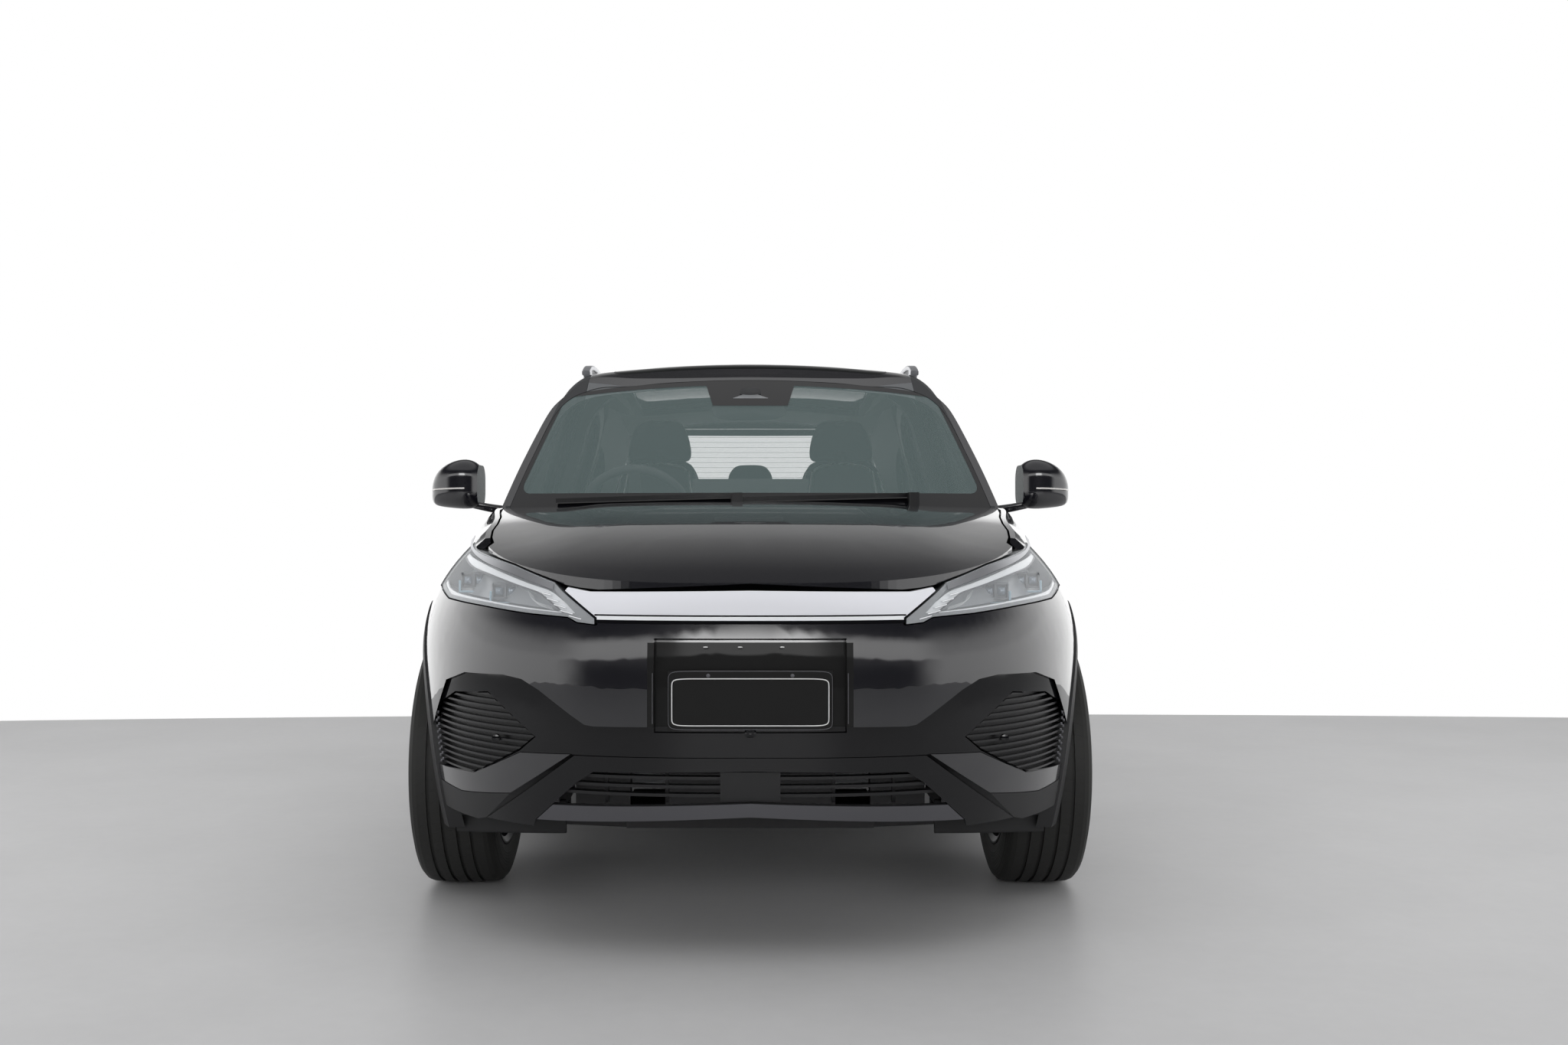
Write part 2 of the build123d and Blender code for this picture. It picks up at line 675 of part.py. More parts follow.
def side_body():
    """Left side of the shell: pillars, roof edge, quarter panel and the ledge below the rear pillar."""
    upper = cut("house", 0, frame_thickness, above_belt_line(), True, (0, roof_thickness))
    upper = upper - span((-10, roof_half + seam / 2), (-1100, tail_seam_y + 200), (1430, 1700))
    upper = (upper & screen_block(screen_y, 2500)) & screen_block(backlight_y, -1400)
    upper = upper - screen_rebate() - bonnet_room()
    doors = prism_yz(front_door_outline(panel_gap), 200, 1000) + \
        prism_yz(rear_door_outline(panel_gap), 200, 1000)
    upper = upper - doors
    gate = prism_xz(tailgate_grown(), 1700, 2400)
    upper = upper - (gate & screen_block(backlight_y, 2500, -gate_thickness))
    upper = upper - prism_yz(quarter_window, 200, 1000)
    quarter = cut("tail", 0, skin, span((200, 1000), (850, 2300), (262, 1070 + 30)))
    shelf = [(1118, belt(1118) - 24), (2080, belt(2080) - 24), (2080, belt(2080)), (1118, belt(1118))]
    quarter = quarter + cut("tail", 4, 110, prism_yz(shelf, 200, 1000))
    quarter = quarter - above_belt_line() - gate - span((0, 1000), (1600, 2400),
                                                        (100, bumper_top_z + seam / 2))
    quarter = quarter - prism_yz(rear_door_outline(panel_gap), 200, 1000)
    quarter = quarter - drum(arch_radius + arch_lip + seam / 2, 300, 1000, rear_axle_y, axle_z)
    quarter = quarter - prism_yz([(1300, 200), (1300, 640), (2400, 640), (2400, 200)], 200, 1000)
    quarter = quarter - prism_xz(tail_lamp_grown, 1819.4, 2400)
    quarter = quarter - span((300, 1000), (800, 1000), (100, 560))
    return upper, quarter


def bonnet_room():
    """Space behind the bonnet's rear edge and above its underside that nothing else may enter."""
    return prism_xy(bonnet_plan(panel_gap + 1), 900, 1300) - below_bonnet(bonnet_thickness + panel_gap)


def screen_rebate():
    """The step in the pillars and the roof edge that the windscreen lies in."""
    edge = window_edge(screen_y, 26, 12, 1030)
    return screen_slab(screen_y, -2, glass_thickness + 1) & window_prism(edge, -1200, 0)


def above_belt_line():
    return prism_yz([(-1200, belt(-1200)), (-1200, 1700), (2300, 1700), (2300, belt(2300))], -1000, 1000)


def tailgate_half():
    """Half of the tailgate's outline from behind: roof edge, rear pillar, down to the bumper."""
    return window_edge(backlight_y, 22, 10, 1110) + tailgate_low


def tailgate_grown():
    edge = window_edge(backlight_y, 22 - panel_gap, 10 - panel_gap, 1110)
    return whole(edge + [(x + panel_gap if x else 0, z - (panel_gap if z < 1000 else 0)) for x,
                         z in tailgate_low])


tail_lamp_outline = [(728.6, 1006), (728.2, 985), (727, 955), (920, 940), (920, 1030)]
tail_lamp_grown = [(728.0, 1007), (727.6, 985), (726.4, 954.4), (920, 939.4), (920, 1031)]


def posts():
    """Left side: sill, posts with the hinge arms, roof rail and the panel beside the load space."""
    sill = cut("nose", 31, 190, span((300, 1000), (-905, door_split_y), (178, sill_top)))
    sill = sill + cut("tail", 31, 190, span((300, 1000), (door_split_y, 924), (178, sill_top)))
    depth = pillar_inset + pillar_depth
    post = cut("nose", pillar_inset, depth, span((300, 1000), (-905, -812), (230, cowl_low - seam)))
    middle = cut("nose", pillar_inset, depth, span((300, 1000), (150, door_split_y), (230, 1090)))
    middle = middle + cut("tail", pillar_inset, depth, span((300, 1000), (door_split_y, 262), (230, 1090)))
    upper = cut("house", 55, 96, span((530, 1000), (165, 246), (1056, 1640)), True,
                (roof_thickness + 0.6, 66))
    rail = cut("house", 50, 100, span((530, 760), (-60, 1700), (1500, 1640)), True,
               (roof_thickness + 0.6, 66))
    whole_post = sill + post + middle + upper + rail
    for arm in hinge_arms(front_hinge_y) + hinge_arms(rear_hinge_y):
        whole_post = whole_post + arm
    side = cut("tail", pillar_inset, pillar_inset + 20, span((300, 1000), (1060, 1899), (640.6, 1040)))
    side = side - drum(liner_radius + liner_wall + 0.6, 300, 1000, rear_axle_y, axle_z)
    return whole_post, side


liner_radius = 430.0
liner_wall = 4.0


def roof_nodes():
    tool = span((-roof_half, roof_half), (-1000, tail_seam_y - panel_gap),
                (1430, 1700)) & screen_block(screen_y, 2500)
    panel = cut("house", 0, frame_thickness, tool, False, (0, roof_thickness)) - screen_rebate()
    panel = panel - prism_xy(rounded(roof_glass_half + 0.6, -96.6, 1440.6, 60), 1400, 1700)
    lug_top = roof_z(tail_seam_y) - 30
    for x in (-420, 380):
        panel = panel + span((x, x + 40), (tail_seam_y - 40, tail_seam_y - seat_gap),
                             (lug_top - 20, lug_top))
    region = prism_xy(rounded(roof_glass_half, -96, 1440, 60), 1400, 1700)
    glass = cut("house", 0.5, 6, region, False, (0.5, 6))
    return panel, glass


roof_glass_half = 505.0


def rounded(half, low, high, radius):
    """A rectangle on the centre line with rounded corners, as points."""
    points = []
    for cx, cy, start in ((half - radius, high - radius, 0), (radius - half, high - radius, 90),
                          (radius - half, low + radius, 180), (half - radius, low + radius, 270)):
        for i in range(7):
            a = math.radians(start + 15 * i)
            points.append((cx + radius * math.cos(a), cy + radius * math.sin(a)))
    return points


def screens():
    """Windscreen and rear window."""
    edge = window_edge(screen_y, 27.5, 13.5, 1050)
    front = screen_slab(screen_y, 0, glass_thickness) & window_prism(edge, -1200, 0)
    back = screen_slab(backlight_y, -2 - glass_thickness, -2) & prism_xz(whole(backlight_half), 1700, 2400)
    return front, back


backlight_half = [(0, 1478), (520, 1474), (585, 1300), (626, 1140), (0, 1136)]
backlight_grown = [(0, 1478.6), (520.5, 1474.6), (585.6, 1300), (626.7, 1139.4), (0, 1135.4)]


def tailgate_node():
    """Lower half from the tail hull, upper half behind the rear window, and the lip over it."""
    gate = prism_xz(whole(tailgate_half()), 1700, 2400)
    low = cut("tail", 0, gate_thickness, gate & span((-1000, 1000), (1850, 2400), (600, 1076)), False)
    upper = screen_slab(backlight_y, -45, 0) & gate
    upper = upper & span((-1000, 1000), (tail_seam_y, 2400), (1072, 1700))
    upper = upper - prism_xz(whole(backlight_grown), 1700, 2400)
    lip = cut("house", 0, frame_thickness, span((-575, 575), (tail_seam_y, 2046), (1470, 1700)), False,
              (0, roof_thickness))
    lip = lip - prism_yz([(1880, 1400), (1880, 1480), (2046, 1498), (2046, 1400)], -900, 900)
    edge_x = window_edge(backlight_y, 22, 10, 1110)[-1][0]
    trim = [(edge_x - 5, 1113), (edge_x + 40, 1113), (740, 1068), (693, 1068)]
    upper = upper - pair(prism_xz(trim, 1700, 2400))
    shape = upper + lip + (low - pair(prism_yz(corner_relief, 640, 760)))
    lamp_cut = cut("tail", -3, 16, prism_xz(whole(lamp_bar_grown), 1700, 2400), False)
    plate_cut = cut("tail", -4, 24, span((-265, 265), (2000, 2400), (742, 900)), False)
    return shape - lamp_cut - plate_cut


gate_thickness = 60.0
# upper corners, cut back so that they swing out from under the rear pillars
corner_relief = [(1800, 1000), (1985, 1000), (1985, 1046), (2060, 1072), (2060, 1090), (1800, 1090)]
lamp_bar_half = [(0, 1000), (700, 1004), (706, 982), (707, 958), (0, 948)]
lamp_bar_grown = [(0, 1000.6), (740, 1004.6), (740, 957), (707, 957.4), (0, 947.4)]


def tail_lamp_nodes():
    bar = cut("tail", 0.5, 15.4, prism_xz(whole(lamp_bar_half), 1700, 2400), False)
    side = cut("tail", 0.5, 22, prism_xz(tail_lamp_outline, 1820, 2400))
    return bar, pair(side)


def rear_bumper_node():
    side = prism_yz([(1300, 639.3), (1600, 639.3), (1600, bumper_top_z), (2400, bumper_top_z), (2400, 210),
                     (1300, 210)],
                    -1000, 1000)
    panel = cut("tail", 0, skin, side, False) - drum(arch_radius + arch_lip + seam, -1000, 1000,
                                                     rear_axle_y, axle_z)
    panel = panel - span((-1000, 1000), (0, 1690), (0, 560))
    return panel + cut("tail", skin - 8, 150, span((-640, 640), (1900, 2300), (640, 668)), False)


def arch_node():
    """Dark trims round the wheel openings and along the sills, left side."""
    ring = drum(arch_radius + arch_lip, 300, 1000, front_axle_y, axle_z)
    ring = ring - drum(arch_radius, 300, 1000, front_axle_y, axle_z)
    front = cut("nose", -4, skin + 4, ring & span((300, 1000), (-2400, -800), (230, 900)))
    ring = drum(arch_radius + arch_lip, 300, 1000, rear_axle_y, axle_z)
    ring = ring - drum(arch_radius, 300, 1000, rear_axle_y, axle_z)
    rear = cut("tail", -4, skin + 4, ring & span((300, 1000), (800, 2400), (230, 900)))
    reach = arch_radius + arch_lip + seam
    sill = cut("nose", -4, skin + 4, span((300, 1000), (front_axle_y + reach, door_split_y),
                                          (186, sill_top - 0.6)))
    sill = sill + cut("tail", -4, skin + 4, span((300, 1000), (door_split_y, rear_axle_y - reach),
                                                 (186, sill_top - 0.6)))
    return front, rear, sill


# ================= under the body =================
floor_low = sill_top + 0.6
floor_high = floor_low + 22
floor_half = 745.0
rail_inner = 420.0
rail_outer = 486.0
front_wall_y = -935.0
wall_back_y = -900.0         # cabin side of the front wall
cowl_low = 1004.0
boot_floor = 640.0
kick_y = 1100.0              # front of the step from the cabin floor up to the load floor
boot_half = 556.0
pack_half = 640.0
pack_low = 170.0


def underbody_node():
    base = span((-floor_half, floor_half), (-905, 1000), (floor_low, floor_high))
    base = base + span((-rail_outer, rail_outer), (front_wall_y - 20, wall_back_y), (floor_low, 1000))
    base = base + span((-735, 735), (front_wall_y - 20, front_wall_y), (800, 1000))
    base = base + span((-boot_half, boot_half), (980, kick_y + 25), (floor_low, floor_high))
    base = base + span((-boot_half, boot_half), (kick_y, kick_y + 25), (floor_low, boot_floor))
    base = base + span((-boot_half, boot_half), (kick_y, 2100), (boot_floor - 20, boot_floor))
    for side in (-1, 1):
        low, high = sorted((side * rail_inner, side * rail_outer))
        base = base + span((low, high), (-2060, front_wall_y), (420, 520))
        base = base + span((low, high), (-2060, -2000), (500, 730))
        base = base + wheel_house("nose", side, front_axle_y, rail_outer)
        base = base + wheel_house("tail", side, rear_axle_y, boot_half)
        x_low, x_high = sorted((side * 600, side * 630))
        under = min(bonnet_z(x, y) for x in (600, 630) for y in (-1060, -1005)) - bonnet_thickness
        base = base + span((x_low, x_high), (-1060, front_wall_y - 10), (960, 1000))
        base = base + span((x_low, x_high), (-1060, -1005), (960, under - seat_gap))
    beam = cut("nose", 70, 130, span((-560, 560), (-2300, -1900), (430, 540)), False)
    carrier = cut("nose", lamp_depth + 0.6, lamp_depth + 40, span((-700, 700), (-2300, -1700), (700, 802)),
                  False)
    return base + beam + carrier


def wheel_house(which, side, y, inner):
    """A liner round the top of the wheel and the wall on its inner side, open below."""
    arc = drum(liner_radius + liner_wall, inner, 878, y, axle_z) - drum(liner_radius, inner, 878, y, axle_z)
    wall = drum(liner_radius + liner_wall, inner, inner + 6, y, axle_z)
    wall = wall - drum(112, inner, inner + 6, y, axle_z)
    shape = (arc + wall) & span((0, 1000), (y - 500, y + 500), (floor_low, 900))
    shape = shape - thick(which, -150, skin + 4 + seat_gap)
    return shape if side > 0 else other(shape)


def pack_node():
    return span((-pack_half, pack_half), (-780, 840), (pack_low, sill_top))


# ================= wheels and what carries them =================
rim_half = 99.0
tread_half = 84.0
groove_width = 9.0
groove_depth = 7.0
grooves = (-54.0, -19.0, 19.0, 54.0)
hub_bore = 20.3
spindle = 20.0
disc_radius = 146.0
lug_inner = 148.0
lug_outer = 165.0


def turned(points):
    """Revolves an outline of (x, radius) points about the wheel's axis."""
    return revolve(Plane.XY * make_face(Polyline(*points, close=True)), Axis.X)


def tyre_shape():
    edge = [(rim_half - 0.3, rim_radius + 0.3), (rim_half - 0.3, 243.5), (105, 247), (109.5, 268),
            (111, 292), (109.5, 314), (104, 331),
            (95, 340.5), (tread_half, 344.5)]
    face = [(x, 347 - 2.4 * (x / tread_half) ** 2) for x in (66, 40, 12)]
    half = edge + face
    shape = turned(half + [(-x, r) for x, r in reversed(half)])
    for x in grooves:
        shape = shape - (drum(tyre_radius + 5, x - groove_width / 2, x + groove_width / 2, 0, 0)
                         - drum(tyre_radius - groove_depth, x - groove_width / 2, x + groove_width / 2, 0,
                                0))
    return shape


spoke_count = 5


def rim_shape():
    """Barrel, ten arms in five pairs, hub and brake disc; outboard is +X."""
    barrel = [(-106, 243), (-99.3, 243), (-99, rim_radius), (-60, rim_radius), (-45, rim_radius - 12),
              (40, rim_radius - 12),
              (58, rim_radius), (99, rim_radius), (99.3, 243), (106, 243), (106, 238), (98, 224), (60, 222),
              (42, rim_radius - 21), (-47, rim_radius - 21), (-62, 222), (-98, 224), (-106, 238)]
    shape = turned(barrel)
    shape = shape + turned([(60, hub_bore), (60, 72), (84, 66), (86, 40), (88, hub_bore)])
    for k in range(spoke_count):
        for lean in (-1, 1):
            foot = [(62, lean * 4), (62, lean * 34), (86, lean * 32), (88, lean * 6)]
            tip = [(74, lean * 34), (74, lean * 60), (99, lean * 58), (100, lean * 38)]
            arm = loft([Plane.XY.offset(50) * make_face(Polyline(*foot, close=True)),
                        Plane.XY.offset(224) * make_face(Polyline(*tip, close=True))], ruled=True)
            shape = shape + Rot(360 / spoke_count * k, 0, 0) * arm
    disc = turned([(8, hub_bore), (8, disc_radius), (30, disc_radius), (30, 84), (62, 74), (62, hub_bore)])
    cap = turned([(84, 0), (84, 30), (90, 28), (90, 0)])
    return shape + disc + cap


def knuckle_shape():
    """Upright, spindle, ball lugs on the steering axis, and the brake caliper; outboard is +X."""
    shape = span((-46, -14), (-34, 34), (-lug_outer, lug_outer))
    shape = shape + drum(34, -50, 7.7, 0, 0) + drum(spindle, 0, 58, 0, 0)
    for s in (-1, 1):
        low, high = sorted((s * lug_inner, s * lug_outer))
        shape = shape + span((-46, 0), (-17, 17), (low, high))
        shape = shape + Pos(0, 0, (low + high) / 2) * Cylinder(17, high - low)
    shape = shape + span((-34, -10), (20, 128), (-52, 52))
    caliper = span((-12, 46), (84, 158), (-64, 64)) - drum(disc_radius + 4, 3, 35, 0, 0)
    return shape + caliper


arm_thickness = 13.5
strut_x = 540.0
strut_y = 70.0


def arm_plate(z_low, root_x, root_half, tip_half=17.0):
    """A wishbone seen from above: wide at its root, rounded round the ball joint at the wheel's centre."""
    tip_x = half_track
    plate = prism_xy([(root_x, -root_half), (tip_x, -tip_half), (tip_x, tip_half), (root_x, root_half)],
                     z_low,
                     z_low + arm_thickness)
    plate = plate + Pos(tip_x, 0, z_low + arm_thickness / 2) * Cylinder(tip_half, arm_thickness)
    hole = prism_xy([(root_x + 70, -root_half + 45), (root_x + 190, -14), (root_x + 190, 14),
                     (root_x + 70, root_half - 45)],
                    z_low - 1, z_low + arm_thickness + 1) if root_half > 90 else None
    return plate - hole if hole else plate


def front_suspension_node():
    lower_z = axle_z - lug_outer - seat_gap - arm_thickness
    upper_z = axle_z + lug_outer + seat_gap
    side = arm_plate(lower_z, 330, 120) + arm_plate(upper_z, rail_outer + 6.3, 60)
    side = side + Pos(strut_x, strut_y, (lower_z + 765.5) / 2) * Cylinder(24, 765.5 - lower_z)
    side = side + Pos(strut_x, strut_y, 655) * Cylinder(44, 190)
    side = Pos(0, front_axle_y, 0) * side
    shaft = drum(14, 220, 716, front_axle_y, axle_z) + drum(36, 640, 700, front_axle_y, axle_z)
    cradle = span((-340, 340), (front_axle_y - 130, front_axle_y + 150), (lower_z, 226))
    mount = span((330, 480), (front_axle_y - 120, front_axle_y - 60), (200, 419.4))
    block = span((-230, 230), (front_axle_y - 190, front_axle_y + 190), (226, 560))
    return cradle + block + side + other(side) + shaft + other(shaft) + mount + other(mount)


def rear_suspension_node():
    hub = span((-46, -14), (-60, 60), (-130, 150)) + drum(34, -50, 7.7, 0, 0) + drum(spindle, 0, 58, 0, 0)
    hub = hub + span((-34, -10), (20, 128), (-52, 52))
    caliper = span((-12, 46), (84, 158), (-64, 64)) - drum(disc_radius + 4, 3, 35, 0, 0)
    side = Pos(half_track, rear_axle_y, axle_z) * (hub + caliper)
    side = side + span((330, 760), (rear_axle_y - 26, rear_axle_y + 26), (222, 250))
    side = side + span((470, 760), (rear_axle_y + 60, rear_axle_y + 90), (300, 330)) \
        + span((700, 760), (rear_axle_y + 30, rear_axle_y + 90), (300, 330))
    side = side + span((600, 664), (1000, rear_axle_y), (228, 250))
    side = side + span((600, 664), (930, 1006), (228, floor_low - seat_gap))
    spring = Pos(430, rear_axle_y, (250 + 619.4) / 2) * Cylinder(50, 619.4 - 250)
    cradle = span((-500, 500), (rear_axle_y - 120, rear_axle_y + 120), (210, 262))
    post = span((470, 540), (rear_axle_y + 60, rear_axle_y + 100), (240, 619.4))
    return cradle + side + other(side) + spring + other(spring) + post + other(post)


# ================= cabin =================
wheel_x = -384.0
column_y = -560.0
column_z = 1018.0
column_tilt = 24.0
steer_radius = 182.0


def steering_wheel_node():
    ring = Torus(steer_radius, 15)
    hub = Pos(0, 0, -14) * Cylinder(62, 34)
    shape = ring + hub
    shape = shape + Pos(0, 0, -6) * Box(2 * steer_radius - 8, 34, 14)
    shape = shape + Pos(0, -steer_radius / 2, -6) * Box(40, steer_radius - 8, 14)
    shape = shape + Pos(0, 0, -60) * Cylinder(28, 70)
    return wheel_place() * shape


def wheel_place():
    """The steering wheel's plane faces the driver, leaning back."""
    return Pos(wheel_x, column_y, column_z) * Rot(-(90 - column_tilt), 0, 0)


def dashboard_node():
    profile = [(wall_back_y + seat_gap, 960), (wall_back_y + seat_gap, 640), (-800, 560), (-720, 600),
               (-690, 760),
               (-680, 900), (-700, 960), (-760, 1002), (-830, 1002)]
    board = prism_yz(profile, -700, 700)
    hood = prism_yz([(-760, 940), (-760, 1048), (-690, 1052), (-672, 1040), (-672, 960)], wheel_x - 190,
                    wheel_x + 190, 8)
    screen = span((-190, 190), (-688, -668), (930, 1150))
    console = span((-120, 120), (-760, -40), (floor_high + 0.3, 560))
    console = console + span((-120, 120), (-760, -660), (500, 640))
    column = wheel_place() * (Pos(0, 0, -150) * Cylinder(30, 109.4))
    return board + hood + screen + console + column


def seat(width, base_y, base_z, depth, back_height, lean):
    """A seat in side view: cushion and leaning back as two plain closed solids."""
    cushion = prism_yz([(base_y, base_z), (base_y, base_z + 120), (base_y + depth, base_z + 90),
                        (base_y + depth, base_z)], -width / 2, width / 2, 30)
    low_y, rise = base_y + depth + seat_gap, back_height * math.tan(math.radians(lean))
    back = prism_yz([(low_y, base_z), (low_y, base_z + 95), (low_y + rise, base_z + 40 + back_height),
                     (low_y + rise + 95, base_z + 40 + back_height), (low_y + 120, base_z)],
                    -width / 2 + 10, width / 2 - 10, 24)
    return cushion, back


seat_rise = 700.0            # height of the front seats' backs
seat_lean = 22.0


def front_seats_node():
    solids = []
    for x in (wheel_x, -wheel_x):
        cushion, back = seat(510, -150, 420, 480, seat_rise, seat_lean)
        plinth = span((-200, 200), (-60, 320), (floor_high + 0.3, 419.7))
        top_y, top_z = -150 + 480 + seat_rise * math.tan(math.radians(seat_lean)), 460 + seat_rise + seat_gap
        head = prism_yz([(top_y + 4, top_z), (top_y + 50, top_z + 210), (top_y + 140, top_z + 210),
                         (top_y + 94, top_z)], -140, 140, 30)
        solids += [Pos(x, 0, 0) * s for s in (cushion, back, plinth, head)]
    return solids


def rear_seats_node():
    half = 548
    cushion = prism_yz([(560, 400), (560, 530), (1030, 505), (1030, 400)], -half, half, 30)
    plinth = span((-540, 540), (640, 984), (floor_high + 0.3, 399.7))
    back = prism_yz([(1030.3, 400), (1097, 400), (1097, 660), (1200, 700), (1352, 1110), (1257, 1110),
                     (1030.3, 500)],
                    -half, half, 20)
    heads = [Pos(x, 0, 0) * prism_yz([(1262, 1110.3), (1296, 1280), (1368, 1280), (1347, 1110.3)], -120,
                                     120, 22)
             for x in (-360, 0, 360)]
    return [cushion, plinth, back] + heads


def cowl_node():
    """The dark strip below the windscreen with the two wiper arms lying on it."""
    strip = screen_slab(screen_y, -26, 24) & span((-725, 725), (-1200, -600), (cowl_low, 1049.4))
    for x0, x1, z0, z1 in ((-40, -610, 1092, 1076), (509, -60, 1094, 1078)):
        points = [(x0 + (x1 - x0) * i / 6, z0 + (z1 - z0) * i / 6) for i in range(7)]
        path = Spline(*[Vector(x, screen_y(x, z) - 20, z) for x, z in points])
        blade = sweep(Plane(origin=path @ 0, z_dir=path % 0) * Rectangle(13, 13), path=path)
        foot = span((x0 - 16, x0 + 16), (screen_y(x0, 1050) - 24, screen_y(x0, 1085) - 10), (1040, z0 + 7))
        foot = foot - screen_block(screen_y, 2500, -3)
        strip = strip + blade + foot
    return strip - bonnet_room()


def mirror_section(width, height):
    return RectangleRounded(width, height, min(width, height) * 0.36)


def mirror_node():
    """Left door mirror: a rounded shell open behind for its glass, on a low arm."""
    wires = []
    for x, y0, z0, w, h in ((872, -742, 1126, 150, 132), (905, -746, 1130, 176, 158),
                            (955, -744, 1128, 178, 150),
                            (1000, -736, 1118, 150, 118), (1024, -728, 1106, 96, 70)):
        wires.append(Plane(origin=(x, y0, z0), x_dir=(0, 1, 0), z_dir=(1, 0, 0)) * mirror_section(w, h))
    head = loft(wires)
    arm = loft([Plane(origin=(790, -712, 1046), x_dir=(0, 1, 0), z_dir=(1, 0, 0))
                * RectangleRounded(96, 30, 9),
                Plane(origin=(860, -726, 1058), x_dir=(0, 1, 0), z_dir=(1, 0, 0))
                * RectangleRounded(110, 26, 9),
                Plane(origin=(930, -738, 1074), x_dir=(0, 1, 0), z_dir=(1, 0, 0))
                * RectangleRounded(90, 24, 9)])
    below = prism_yz([(-900, belt(-900) + seat_gap), (-500, belt(-500) + seat_gap), (-500, 900),
                      (-900, 900)], 700, 1100)
    arm = (arm - below) - thick("house", -seat_gap, 70)
    back = span((880, 1016), (-690, -600), (1000, 1250))
    return (head + arm) - back


def roof_rail_node():
    """Left roof rail: a bar on three feet that stand on the roof."""
    lift = 14
    path_points = [(612, -20, 1578), (612, 60, 1602), (611, 300, 1611), (608, 700, 1605), (602, 1100, 1586),
                   (592, 1450, 1561), (588, 1540, 1546)]
    path = Spline(*[Vector(x, y, z - lift) for x, y, z in path_points])
    rail = loft([Plane(origin=path @ t, x_dir=(1, 0, 0), z_dir=path % t) * RectangleRounded(30, 20, 6)
                 for t in (0, 0.06, 0.15, 0.35, 0.6, 0.8, 0.93, 1)])
    feet = [span((x - 12, x + 12), (y - 34, y + 34), (z - 90, z - lift - 2))
            for x, y, z in ((612, 40, 1596), (605, 760, 1602), (589, 1490, 1552))]
    feet = Compound(children=feet) - thick("house", -seat_gap, 160, True, (-seat_gap, 160))
    return rail + feet


def number_plates():
    face_y = nose_profile(plate_z) + recess_depth
    front = span((-plate_width / 2, plate_width / 2), (face_y - 12, face_y - 4),
                 (plate_z - plate_height / 2, plate_z + plate_height / 2))
    front = front + span((-60, 60), (face_y - 5, face_y - 0.3), (plate_z - 30, plate_z + 30))
    rear_y = tail_profile(820) - 24
    rear = span((-plate_width / 2, plate_width / 2), (rear_y + 4, rear_y + 12),
                (820 - plate_height / 2, 820 + plate_height / 2))
    rear = rear + span((-60, 60), (rear_y - 6, rear_y + 5), (790, 850))
    rear = rear - thick("tail", 23.7, 130, False)
    return front, rear


def both(shape):
    """The left piece and its mirror image."""
    return shape, other(shape)


def front_end():
    upper, wings, dark, frame, lip, side, arch = bumper_nodes()
    return {
        "front_bumper": [upper, *wings],
        "front_trim": [dark, frame],
        "front_lips": lip,
        "lower_grille": lower_grille_node(),
        "skid_strip": cut("nose", 0, skin, prism_xz(whole(skid_grown), -2400, -1700), False),
        "nose_bar": cut("nose", 0.5, bar_depth, prism_xz(whole(bar_outline), -2400, -1700), False),
        "side_grilles": insert_nodes(side, arch),
    }


def fender_and_lamps():
    lens, body = headlamp_nodes()
    return {
        "bonnet": bonnet_node(),
        "fenders": both(fender_node()),
        "headlamp_lenses": both(lens),
        "headlamp_bodies": both(body),
    }


def doors():
    nodes = {}
    for name, door, window in (("front", front_door(), front_window), ("rear", rear_door(), rear_window)):
        glass = door_glass(window)
        nodes[f"{name}_door_left"], nodes[f"{name}_door_right"] = both(door)
        nodes[f"{name}_door_glass_left"], nodes[f"{name}_door_glass_right"] = both(glass)
    return nodes


def sides():
    upper, quarter = side_body()
    return {
        "body_sides": [*both(upper), *both(quarter)],
        "quarter_glass": both(door_glass(quarter_window)),
        "roof_rails": both(roof_rail_node()),
    }


def structure():
    post, load_side = posts()
    front, rear, sill = arch_node()
    return {
        "posts_and_sills": [*both(post), *both(load_side)],
        "arch_trims": [*both(front), *both(rear), *both(sill)],
    }


def top_and_tail():
    roof, roof_glass = roof_nodes()
    windscreen, rear_window_glass = screens()
    bar, side_lamps = tail_lamp_nodes()
    return {
        "roof_panel": roof,
        "roof_glass": roof_glass,
        "windscreen": windscreen,
        "tailgate_glass": rear_window_glass,
        "tailgate": tailgate_node(),
        "tailgate_lamp": bar,
        "tail_lamps": side_lamps,
        "rear_bumper": rear_bumper_node(),
        "cowl_and_wipers": cowl_node(),
    }


def running_gear():
    nodes = {
        "underbody": underbody_node(),
        "battery_pack": pack_node(),
        "front_suspension": front_suspension_node(),
        "rear_suspension": rear_suspension_node(),
    }
    tyre, rim = tyre_shape(), rim_shape()
    for end, y in (("front", front_axle_y), ("rear", rear_axle_y)):
        place = Pos(half_track, y, axle_z)
        nodes[f"tyre_{end}_left"], nodes[f"tyre_{end}_right"] = both(place * tyre)
        nodes[f"wheel_{end}_left"], nodes[f"wheel_{end}_right"] = both(place * rim)
    knuckle = Pos(half_track, front_axle_y, axle_z) * knuckle_shape()
    nodes["knuckle_left"], nodes["knuckle_right"] = both(knuckle)
    return nodes


def cabin_and_fittings():
    nodes = {
        "steering_wheel": steering_wheel_node(),
        "dashboard": dashboard_node(),
        "front_seats": front_seats_node(),
        "rear_seats": rear_seats_node(),
    }
    nodes["mirror_left"], nodes["mirror_right"] = both(mirror_node())
    nodes["number_plate_front"], nodes["number_plate_rear"] = number_plates()
    return nodes


groups = (front_end, fender_and_lamps, doors, sides, structure, top_and_tail, running_gear,
          cabin_and_fittings)


def write(nodes):
    os.makedirs("parts", exist_ok=True)
    for name, node in nodes.items():
        shapes = node if isinstance(node, (list, tuple)) else [node]
        solids = [s for shape in shapes for s in shape.solids()]
        export_step(solids[0] if len(solids) == 1 else Compound(children=solids), f"parts/{name}.step")


